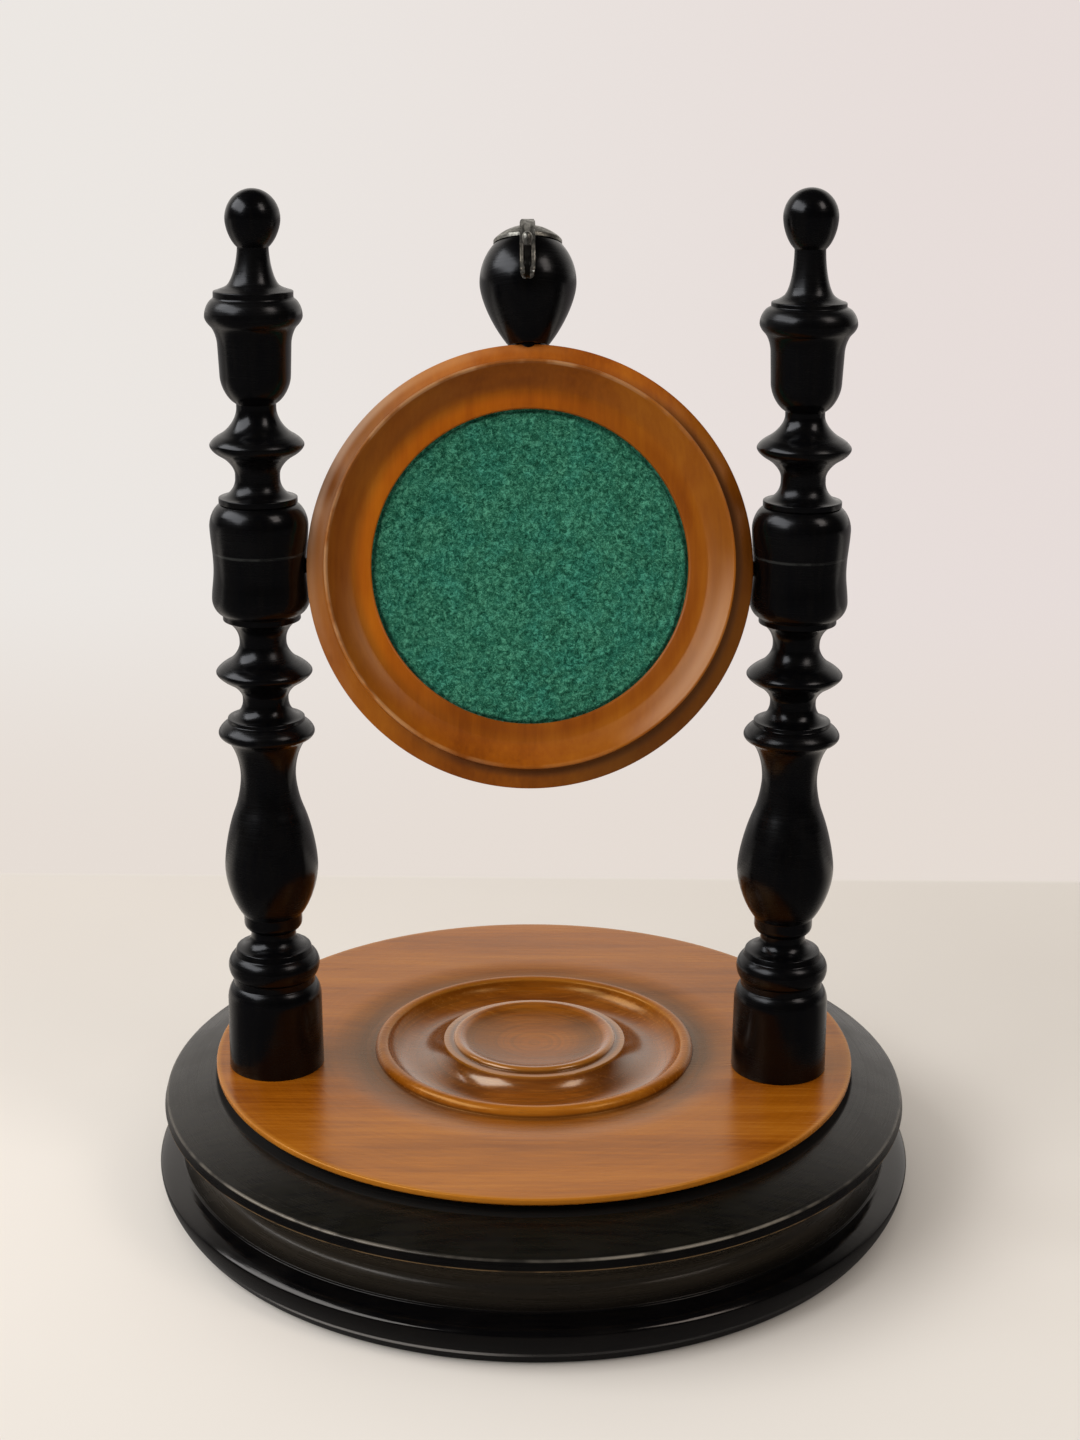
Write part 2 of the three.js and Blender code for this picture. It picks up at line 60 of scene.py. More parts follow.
# Camera: fitted to the ellipses of the base and the axes of the posts
CAMERA_PLACE = (1.6, -371.8, 200.0)
CAMERA_HEADING, CAMERA_PITCH, CAMERA_ROLL = (math.radians(a) for a in (-0.141, 16.722, -0.370))
SENSOR = 36
FOCAL_IN_PICTURE_HEIGHTS = 2163 / 1440


def make_camera():
    ahead, aside = math.cos(CAMERA_HEADING), math.sin(CAMERA_HEADING)
    flat = math.cos(CAMERA_PITCH)
    forward = Vector((aside * flat, ahead * flat, -math.sin(CAMERA_PITCH)))
    level = Vector((ahead, -aside, 0))
    down = forward.cross(level)
    right = math.cos(CAMERA_ROLL) * level + math.sin(CAMERA_ROLL) * down
    below = -math.sin(CAMERA_ROLL) * level + math.cos(CAMERA_ROLL) * down
    data = bpy.data.cameras.new("camera")
    data.sensor_width = SENSOR
    data.lens = FOCAL_IN_PICTURE_HEIGHTS * SENSOR
    data.clip_start = 0.01
    data.clip_end = 50
    camera = bpy.data.objects.new("camera", data)
    axes = Matrix((right, -below, -forward)).transposed().to_4x4()
    camera.matrix_world = at(*CAMERA_PLACE) @ axes
    bpy.context.scene.collection.objects.link(camera)
    bpy.context.scene.camera = camera


def at(x, y, z):
    return Matrix.Translation(Vector((x, y, z)) * MM)


def smooth(value, low, high):
    share = np.clip((value - low) / (high - low), 0, 1)
    return share * share * (3 - 2 * share)


# Outlines of the turned pieces
LINE_STEP = 1.0
CURVE_STEP = 0.3
CORNER_TURN = math.radians(11)
CORNER_SHARE = 0.35
CORNER_STOPS = (0.2, 0.4, 0.6, 0.8)
EVEN_PULL = 0.4
ROUND_PULL = 0.5523
NEARLY_PARALLEL = 0.05


# A half outline in millimetres, drawn from one station to the next with the solid on its left
class Profile:
    def __init__(self, radius, height):
        self.at = np.array([radius, height], float)
        self.runs = []

    def line(self, radius, rise):
        end = np.array([radius, self.at[1] + rise])
        count = max(2, int(np.linalg.norm(end - self.at) / LINE_STEP) + 1)
        share = np.linspace(0, 1, count)[:, None]
        self.runs.append(self.at + (end - self.at) * share)
        self.at = end
        return self

    # Angles are in degrees from the axis, outwards positive: the way the curve leaves and arrives
    def curve(self, radius, rise, leave, arrive):
        end = np.array([radius, self.at[1] + rise])
        out = heading(leave, rise)
        into = heading(arrive, rise)
        first, second = handles(self.at, end, out, into)
        a, b, c, d = self.at, self.at + out * first, end - into * second, end
        count = max(8, int(np.linalg.norm(d - a) / CURVE_STEP))
        t = np.linspace(0, 1, count)[:, None]
        pulled = 3 * b * t * (1 - t) ** 2 + 3 * c * t * t * (1 - t)
        self.runs.append(a * (1 - t) ** 3 + pulled + d * t ** 3)
        self.at = end
        return self

    def bead(self, crest, lower, leave, top, upper, arrive):
        return self.curve(crest, lower, leave, 0).curve(top, upper, 0, arrive)

    # The stations, with every sharp corner rounded by about the given amount
    def stations(self, soft):
        runs = [r.copy() for r in self.runs]
        closed = np.linalg.norm(runs[0][0] - runs[-1][-1]) < TINY
        corners = {}
        for i in range(len(runs) if closed else len(runs) - 1):
            j = (i + 1) % len(runs)
            before = unit(runs[i][-1] - runs[i][-2])
            after = unit(runs[j][1] - runs[j][0])
            if before @ after < math.cos(CORNER_TURN):
                corners[i] = runs[i][-1].copy()
        sizes = [np.linalg.norm(np.diff(r, axis=0), axis=1).sum() for r in runs]
        for i in corners:
            j = (i + 1) % len(runs)
            cut = min(soft, CORNER_SHARE * sizes[i], CORNER_SHARE * sizes[j])
            runs[i] = shortened(runs[i][::-1], cut)[::-1]
            runs[j] = shortened(runs[j], cut)
        points = []
        for i, run in enumerate(runs):
            shared = points and (i - 1) not in corners
            points.extend(run[1:] if shared else run)
            if i in corners:
                a, b, c = run[-1], corners[i], runs[(i + 1) % len(runs)][0]
                for t in CORNER_STOPS:
                    points.append(a * (1 - t) ** 2 + 2 * b * t * (1 - t) + c * t * t)
        return np.array(points), closed


def unit(v):
    return v / max(np.linalg.norm(v), 1e-12)


def cross(a, b):
    return a[0] * b[1] - a[1] * b[0]


def heading(angle, rise):
    turn = math.radians(angle)
    return np.array([math.sin(turn), math.cos(turn) * np.sign(rise)])


def handles(start, end, out, into):
    chord = end - start
    across = cross(out, into)
    even = EVEN_PULL * np.linalg.norm(chord)
    if abs(across) < NEARLY_PARALLEL:
        return even, even
    first = cross(chord, into) / across
    second = cross(chord, out) / -across
    if first <= 0 or second <= 0:
        return even, even
    return ROUND_PULL * first, ROUND_PULL * second


def shortened(run, cut):
    left = cut
    k = 0
    while k < len(run) - 2:
        step = np.linalg.norm(run[k + 1] - run[k])
        if step > left:
            break
        left -= step
        k += 1
    step = np.linalg.norm(run[k + 1] - run[k])
    start = run[k] + (run[k + 1] - run[k]) * min(left / max(step, 1e-9), 0.9)
    return np.vstack([start, run[k + 1:]])


# How much each station lies on a crest and in a hollow of the outline, from 0 to 1
CREST_REACH = 0.35
FULL_CREST = 1.2


def crests(points, closed):
    steps = np.diff(points, axis=0)
    along = np.concatenate([[0], np.cumsum(np.linalg.norm(steps, axis=1))])
    way = [unit(s) for s in steps]
    turn = np.zeros(len(points))
    turn[1:-1] = [math.asin(np.clip(cross(a, b), -1, 1)) for a, b in zip(way[:-1], way[1:])]
    gap = along[:, None] - along[None, :]
    if closed:
        turn[0] = turn[-1] = math.asin(np.clip(cross(way[-1], way[0]), -1, 1)) / 2
        total = along[-1]
        gap = (gap + total / 2) % total - total / 2
    weight = np.exp(-0.5 * (gap / CREST_REACH) ** 2)
    crest = weight @ np.maximum(turn, 0)
    hollow = weight @ np.maximum(-turn, 0)
    return np.clip(crest / FULL_CREST, 0, 1), np.clip(hollow / FULL_CREST, 0, 1)


def new_mesh(name, verts, faces, material=None):
    mesh = bpy.data.meshes.new(name)
    mesh.from_pydata(verts, [], faces)
    if material:
        mesh.materials.append(material)
        mesh.shade_smooth()
    return mesh


def new_object(name, mesh, matrix):
    body = bpy.data.objects.new(name, mesh)
    bpy.context.scene.collection.objects.link(body)
    body.matrix_world = matrix
    return body


# A turned piece: the outline's height runs along the object's own Z
def turned(name, profile, matrix, material, sides=128, soft=0.16):
    points, closed = profile.stations(soft)
    if closed and np.linalg.norm(points[0] - points[-1]) < TINY:
        points = points[:-1]
    crest, hollow = crests(np.vstack([points, points[:1]]) if closed else points, closed)
    verts, faces, worn, deep, rows = [], [], [], [], []
    angles = [2 * math.pi * k / sides for k in range(sides)]
    round_once = [(math.cos(a), math.sin(a)) for a in angles]
    for (radius, height), c, h in zip(points, crest, hollow):
        start = len(verts)
        if radius < TINY:
            rows.append([start] * sides)
            verts.append((0, 0, height * MM))
        else:
            rows.append(list(range(start, start + sides)))
            verts.extend((radius * x * MM, radius * y * MM, height * MM) for x, y in round_once)
        worn.extend([c] * (len(verts) - start))
        deep.extend([h] * (len(verts) - start))
    count = len(rows)
    for i in range(count if closed else count - 1):
        low, high = rows[i], rows[(i + 1) % count]
        for k in range(sides):
            n = (k + 1) % sides
            face = list(dict.fromkeys([low[k], low[n], high[n], high[k]]))
            if len(face) > 2:
                faces.append(face)
    mesh = new_mesh(name, verts, faces, material)
    for label, values in (("crest", worn), ("hollow", deep)):
        marks = mesh.attributes.new(label, "FLOAT", "POINT").data
        marks.foreach_set("value", np.array(values, np.float32))
    return new_object(name, mesh, matrix)


def finished(body):
    graph = bpy.context.evaluated_depsgraph_get()
    mesh = bpy.data.meshes.new_from_object(body.evaluated_get(graph))
    body.modifiers.clear()
    body.data = mesh
    return body


# Cuts a round hole between two points given in the object's own millimetres
def bored(body, start, end, radius, sides=32):
    a, b = Vector(start) * MM, Vector(end) * MM
    axis = (b - a).normalized()
    side = axis.orthogonal().normalized()
    other = axis.cross(side)
    turns = [2 * math.pi * k / sides for k in range(sides)]
    ring = [(side * math.cos(t) + other * math.sin(t)) * radius * MM for t in turns]
    verts = [a + r for r in ring] + [b + r for r in ring]
    faces = [[k, (k + 1) % sides, sides + (k + 1) % sides, sides + k] for k in range(sides)]
    faces += [list(range(sides))[::-1], list(range(sides, 2 * sides))]
    cutter = new_object("bore", new_mesh("bore", verts, faces), body.matrix_world.copy())
    cut = body.modifiers.new("bore", "BOOLEAN")
    cut.operation = "DIFFERENCE"
    cut.solver = "EXACT"
    cut.object = cutter
    finished(body)
    bpy.data.objects.remove(cutter)
    body.data.shade_smooth()
    body.data.set_sharp_from_angle(angle=math.radians(40))
    return body


# The operations that the materials and the room are made of
class Nodes:
    def __init__(self, tree, coordinates):
        self.tree = tree
        tree.nodes.clear()
        self.place = self.add("TexCoord").outputs[coordinates]

    def add(self, kind, **settings):
        node = self.tree.nodes.new("ShaderNode" + kind)
        for name, value in settings.items():
            setattr(node, name, value)
        return node

    def fix(self, node, **values):
        for name, value in values.items():
            node.inputs[name.replace("_", " ")].default_value = value

    def put(self, socket, value):
        if isinstance(value, bpy.types.NodeSocket):
            self.tree.links.new(value, socket)
        elif isinstance(value, tuple) and len(value) == 3 and len(socket.default_value) == 4:
            socket.default_value = (*value, 1)
        else:
            socket.default_value = value

    def calc(self, operation, a, b=0.0):
        node = self.add("Math", operation=operation)
        self.put(node.inputs[0], a)
        self.put(node.inputs[1], b)
        return node.outputs[0]

    def times(self, first, *others):
        for other in others:
            first = self.calc("MULTIPLY", first, other)
        return first

    def plus(self, first, *others):
        for other in others:
            first = self.calc("ADD", first, other)
        return first

    def weighted(self, *pairs):
        return self.plus(*(self.times(value, weight) for value, weight in pairs))

    # How far a value is from a centre, either way
    def off(self, value, centre=0.0):
        return self.calc("ABSOLUTE", self.calc("SUBTRACT", value, centre))

    # Rises or falls smoothly between two values
    def spread(self, value, low, high, to_low=0.0, to_high=1.0):
        node = self.add("MapRange", interpolation_type="SMOOTHSTEP")
        self.put(node.inputs["Value"], value)
        self.fix(node, From_Min=low, From_Max=high, To_Min=to_low, To_Max=to_high)
        return node.outputs["Result"]

    # Rises from start to full, and falls from still to end
    def within(self, value, start, full, still, end):
        return self.times(self.spread(value, start, full), self.spread(value, end, still))

    def blend(self, share, a, b, mode="MIX"):
        node = self.add("Mix", data_type="RGBA", blend_type=mode)
        self.put(node.inputs["Factor"], share)
        self.put(node.inputs[6], a)
        self.put(node.inputs[7], b)
        return node.outputs[2]

    def split(self):
        node = self.add("SeparateXYZ")
        self.put(node.inputs[0], self.place)
        return node.outputs

    def joined(self, x, y, z=0.0):
        node = self.add("CombineXYZ")
        for socket, value in zip(node.inputs, (x, y, z)):
            self.put(socket, value)
        return node.outputs[0]

    def glow(self, kind, colour, strength):
        node = self.add(kind)
        self.put(node.inputs["Color"], colour)
        self.put(node.inputs["Strength"], strength)
        return node.outputs[0]

    def between(self, share, first, second):
        node = self.add("MixShader")
        for socket, value in zip(node.inputs, (share, first, second)):
            self.put(socket, value)
        return node.outputs[0]

    # The rays that show a thing, straight, in a mirror or through glass
    def seen_rays(self):
        path = self.add("LightPath").outputs
        seen = self.calc("MAXIMUM", path["Is Camera Ray"], path["Is Glossy Ray"])
        return self.calc("MAXIMUM", seen, path["Is Transmission Ray"])


class Shader(Nodes):
    def __init__(self, name, **sockets):
        self.material = bpy.data.materials.new(name)
        self.material.use_nodes = True
        super().__init__(self.material.node_tree, "Object")
        self.surface = self.add("BsdfPrincipled")
        self.out = self.add("OutputMaterial").inputs["Surface"]
        self.put(self.out, self.surface.outputs["BSDF"])
        self.set(**sockets)

    def set(self, **sockets):
        for label, value in sockets.items():
            self.put(self.surface.inputs[label.replace("_", " ")], value)
        return self.material

    # Object coordinates in millimetres, stretched by a factor on each axis
    def scaled(self, x, y, z, start=None):
        node = self.add("Mapping")
        self.put(node.inputs["Vector"], start or self.place)
        self.fix(node, Scale=(x / MM, y / MM, z / MM))
        return node.outputs["Vector"]

    def coordinate(self, axis):
        return self.times(self.split()[axis], 1 / MM)

    def from_axis(self):
        parts = self.split()
        node = self.add("VectorMath", operation="LENGTH")
        self.put(node.inputs[0], self.joined(parts[0], parts[1]))
        return node.outputs["Value"]

    # Distance from the object's own Z axis, in millimetres
    def radius(self):
        return self.times(self.from_axis(), 1 / MM)

    # Coordinates that follow the lathe: distance from the axis, height, and a little of the width
    def lathe(self, pitch, width_share=0.04):
        parts = self.split()
        path = self.joined(self.from_axis(), parts[2], self.times(parts[0], width_share))
        return self.scaled(1 / pitch, 1 / pitch, 1 / pitch, path)

    def noise(self, vector, detail=2.0, rough=0.5, twist=0.0):
        node = self.add("TexNoise")
        self.put(node.inputs["Vector"], vector)
        self.fix(node, Scale=1.0, Detail=detail, Roughness=rough, Distortion=twist)
        return node.outputs["Fac"]

    # A noise without direction, with about so many patches to a millimetre
    def cloud(self, density, **how):
        return self.noise(self.scaled(density, density, density), **how)

    def ramp(self, value, stops):
        node = self.add("ValToRGB")
        self.put(node.inputs[0], value)
        marks = node.color_ramp.elements
        while len(marks) < len(stops):
            marks.new(0.5)
        for mark, (place, colour) in zip(marks, stops):
            mark.position = place
            mark.color = (*colour, 1)
        return node.outputs[0]

    def attribute(self, name):
        return self.add("Attribute", attribute_name=name).outputs["Fac"]

    def bump(self, height, depth):
        node = self.add("Bump")
        self.fix(node, Distance=depth * MM, Strength=1.0)
        self.put(node.inputs["Height"], height)
        return node.outputs["Normal"]


# Black stained and waxed wood
BLACK_DEEP = (0.0009, 0.0009, 0.0013)
BLACK_WARM = (0.0021, 0.0018, 0.0017)
BLACK_CLOUD = (0.0030, 0.0027, 0.0027)
SCRIBED_LINE = (0.034, 0.036, 0.034)
PEG_HOLE_SHADE = (0.0002, 0.0002, 0.0002)
PEG_EDGE, PEG_CORE = 0.62, 0.42

# The base: the colours of its wear and dust, of painted light on the cove, arris and bead, and of
# the painted shadow under the disc's edge, and the levels above the table at which each begins, is
# full and ends
SLOPE_BROWN = (0.0062, 0.0055, 0.0034)
COVE_DUST_AND_BOUNCE_LIGHT = (0.040, 0.032, 0.023)
GOLDEN_EDGE = (0.20, 0.12, 0.05)
ARRIS_PAINTED_HIGHLIGHT = (0.20, 0.175, 0.14)
BEAD_GLINT = (0.26, 0.255, 0.25)
GAP_PAINTED_SHADOW = (0.0004, 0.0004, 0.0004)
SLOPE_LEVELS = (18.9, 19.6)
COVE_LEVELS = (8.4, 9.4, 15.2, 17.0)
GOLDEN_LEVELS = (17.15, 17.32, 17.55, 17.72)
ARRIS_HIGHLIGHT_LEVELS = (18.9, 19.1, 19.22, 19.36)
GLINT_LEVELS = (1.9, 2.2, 2.6, 2.9)
GAP_SHADOW_LEVELS = (18, 19)
GAP_SHADOW_RADII = (59.5, 58.9)
FOOT_LEVELS = (9.0, 8.2)


# The base's wear and dust, its painted light and its painted shadow: its colour, and how much
# rougher it makes the surface
def base_wear_and_painted_light(s, colour, streak, coarse):
    level, radius, across = s.coordinate(2), s.radius(), s.coordinate(0)
    slope = s.times(s.spread(level, *SLOPE_LEVELS), s.spread(streak, 0.3, 0.62, 0.2, 1.0))
    colour = s.blend(slope, colour, SLOPE_BROWN)
    # The cove's dust, made lighter as painted bounce light in the shade under the rim
    cove = s.times(s.within(level, *COVE_LEVELS), s.spread(coarse, 0.25, 0.7, 0.6, 1.0))
    colour = s.blend(cove, colour, COVE_DUST_AND_BOUNCE_LIGHT)
    broken = s.spread(s.cloud(0.12, detail=3), 0.4, 0.52, 0.25, 1.0)
    golden = s.times(s.within(level, *GOLDEN_LEVELS), broken)
    colour = s.blend(s.times(golden, s.spread(radius, 67.6, 68.2, 0.0, 0.8)), colour, GOLDEN_EDGE)
    # A painted highlight along the rim's arris, strongest at the front left
    highlight_mask = s.times(s.within(level, *ARRIS_HIGHLIGHT_LEVELS), broken, s.spread(radius, 67.3, 67.9))
    highlight_mask = s.times(highlight_mask, s.spread(s.off(across, -8), 8, 24, 0.25, 0.8))
    highlight_mask = s.times(highlight_mask, s.spread(s.off(across, -4), 58, 40, 0.35, 1.0))
    colour = s.blend(highlight_mask, colour, ARRIS_PAINTED_HIGHLIGHT)
    # A painted highlight on the bead, a glint of the table in front
    glint = s.times(s.within(level, *GLINT_LEVELS), s.spread(s.off(across, -24), 26, 12, 0.1, 0.8))
    colour = s.blend(glint, colour, BEAD_GLINT)
    # Painted shadow in the gap under the disc's edge
    gap_shadow = s.times(s.spread(radius, *GAP_SHADOW_RADII), s.spread(level, *GAP_SHADOW_LEVELS))
    colour = s.blend(gap_shadow, colour, GAP_PAINTED_SHADOW)
    rougher = s.calc("SUBTRACT", s.times(gap_shadow, 0.6), s.spread(level, *FOOT_LEVELS, 0, 0.13))
    return colour, rougher


# The grain's direction gives the wood its streaks, and the lathe its fine rings
def ebonised(name, grain, gloss, scribed=None, peg=None, base=False):
    if base:
        s = Shader(name, Specular_IOR_Level=0.4, Specular_Tint=(1.0, 0.94, 0.88))
    else:
        s = Shader(name, Specular_IOR_Level=0.3, Specular_Tint=(0.95, 0.96, 1.0))
    lines = s.noise(s.lathe(0.3), detail=2)
    coarse = s.noise(s.lathe(1.6), detail=1)
    streak = s.noise(s.scaled(*grain), detail=4, rough=0.6)
    cloud = s.cloud(0.11, detail=3)
    colour = s.blend(s.spread(streak, 0.35, 0.7), BLACK_DEEP, BLACK_WARM)
    colour = s.blend(s.spread(cloud, 0.45, 0.75, 0, 0.6), colour, BLACK_CLOUD)
    rough = s.spread(cloud, 0.3, 0.75, gloss, gloss + 0.12)
    rough = s.plus(rough, s.spread(lines, 0.3, 0.8, 0, 0.08))
    height = s.weighted((lines, 0.5), (coarse, 0.8), (streak, 0.5))
    if base:
        colour, rougher = base_wear_and_painted_light(s, colour, streak, coarse)
        rough = s.plus(rough, rougher)
    if scribed:
        broken = s.spread(s.noise(s.scaled(0.25, 0.25, 0.8), detail=2), 0.36, 0.5, 0.3, 1.0)
        line = s.times(s.spread(s.off(s.coordinate(2), scribed), 0.34, 0.06), broken)
        colour = s.blend(s.times(line, 0.6), colour, SCRIBED_LINE)
        height = s.plus(height, s.times(line, -0.5))
    # A round spot of painted shade stands for the peg hole
    if peg:
        away = s.add("VectorMath", operation="DISTANCE")
        s.put(away.inputs[0], s.place)
        away.inputs[1].default_value = [c * MM for c in peg]
        hole = s.spread(away.outputs["Value"], PEG_EDGE * MM, PEG_CORE * MM)
        colour = s.blend(hole, colour, PEG_HOLE_SHADE)
    return s.set(Base_Color=colour, Roughness=rough, Normal=s.bump(height, 0.02))


# Polished orange-brown wood. On the disc, painted shade lies in darker rings, the middle keeps the
# turner's fine lines, the front has a painted sheen, and the moat round the dish is the glossiest
# part.
DISC_PAINTED_SHADE = (0.055, 0.018, 0.004)
DISC_LINES = (0.07, 0.022, 0.004)
FRONT_PAINTED_SHEEN = (1.16, 1.3, 2.2)
HOLLOW_DIRT_AND_SHADE = (0.05, 0.02, 0.008)
MOAT_RADII = (12.5, 14, 24, 27)


# Each darker ring of painted shade is given by the radii where it begins, is full and ends, and by
# its strength in the middle of the disc's width and at the sides
def disc_lines_and_painted_light(s, colour, lines, darker):
    radius, across, ahead = s.radius(), s.coordinate(0), s.coordinate(1)
    uneven = s.spread(s.noise(s.lathe(2.2, 0.2), detail=2), 0.3, 0.7, 0.7, 1.0)
    aside = s.calc("DIVIDE", s.off(across), radius)
    for *radii, in_middle, at_sides in darker:
        zone = s.times(s.within(radius, *radii), s.spread(aside, 0.3, 0.85, in_middle, at_sides))
        colour = s.blend(s.times(zone, uneven), colour, DISC_PAINTED_SHADE)
    turned_lines = s.times(s.spread(lines, 0.42, 0.7, 0, 0.4), s.spread(radius, 28, 26))
    colour = s.blend(turned_lines, colour, DISC_LINES)
    # A painted sheen: the front of the disc is lighter, most at the left
    front = s.times(s.spread(ahead, -22, -40), s.spread(radius, 36, 40))
    front = s.times(front, s.spread(across, 30, -15, 0.3, 0.8))
    colour = s.blend(front, colour, FRONT_PAINTED_SHEEN, "MULTIPLY")
    s.set(Coat_Weight=s.within(radius, *MOAT_RADII), Coat_Roughness=0.17, Coat_IOR=1.6)
    return colour


# The grain runs along X
def polished(name, dark, middle, light, rough, darker=()):
    s = Shader(name, Specular_IOR_Level=0.85, Specular_Tint=(1.0, 0.6, 0.2))
    figure = s.noise(s.scaled(0.012, 0.11, 0.11), detail=3, rough=0.55, twist=0.6)
    fibre = s.noise(s.scaled(0.07, 1.5, 1.5), detail=3, rough=0.6)
    pore = s.noise(s.scaled(0.22, 4.2, 4.2), detail=1)
    lines = s.noise(s.lathe(0.35), detail=2)
    mixed = s.weighted((figure, 0.6), (fibre, 0.3), (lines, 0.1))
    colour = s.ramp(mixed, ((0.35, dark), (0.5, middle), (0.64, light)))
    in_pores = (dark[0] * 0.45, dark[1] * 0.4, dark[2] * 0.4)
    colour = s.blend(s.spread(pore, 0.6, 0.78, 0, 0.35), colour, in_pores)
    if darker:
        colour = disc_lines_and_painted_light(s, colour, lines, darker)
    # Darker in the outline's hollows: dirt, and painted shade
    colour = s.blend(s.spread(s.attribute("hollow"), 0.25, 0.9, 0, 0.6), colour, HOLLOW_DIRT_AND_SHADE)
    worn = (light[0] * 1.1, light[1] * 1.3, light[2] * 2)
    colour = s.blend(s.spread(s.attribute("crest"), 0.3, 0.9, 0, 0.55), colour, worn)
    gloss = s.spread(fibre, 0.3, 0.8, rough - 0.03, rough + 0.06)
    gloss = s.plus(gloss, s.spread(pore, 0.6, 0.8, 0, 0.1))
    height = s.weighted((fibre, 0.4), (lines, 0.8))
    return s.set(Base_Color=colour, Roughness=gloss, Normal=s.bump(height, 0.014))


# The ring's members from the felt outwards: the flat, the hollow moulding's wall, its crest, the
# quirk and the outer roll, by their distance from the ring's own axis
WALL_RADII = (29.6, 31.4, 34.3, 34.7)
FLAT_RADII = (30.2, 28.4)
QUIRK_RADII = (34.8, 35.0, 35.2, 36.6)
ROLL_RADII = (34.9, 35.5)
FRONT_HEIGHTS = (1.5, 2.2)
CREST_HEIGHTS = (4.2, 5.2)
WALL_GRIME_AND_SHADE = (0.09, 0.022, 0.004)
WALL_SHADE = (0.12, 0.045, 0.014)
QUIRK_PAINTED_SHADOW = (0.04, 0.010, 0.001)
ROLL_PAINTED_SHADE = (0.06, 0.02, 0.004)
ROLL_PAINTED_SHEEN = (0.42, 0.235, 0.13)
ROLL_PAINTED_HIGHLIGHT = (0.60, 0.40, 0.28)
CREST_WEAR_AND_HIGHLIGHT = (0.42, 0.21, 0.09)
WALL_PAINTED_HIGHLIGHT = (0.60, 0.33, 0.18)
FLAT_PAINTED_LIGHT, FLAT_PAINTED_SHADE = (1.38, 1.24, 0.1), (0.84, 0.74, 0.1)
ROLL_TOP_PAINTED_LIGHT, WALL_LOWER_PAINTED_LIGHT = (1.36, 1.24, 0.9), (1.24, 1.18, 0.8)
UPPER_LEFT = (-0.866, 0.5)


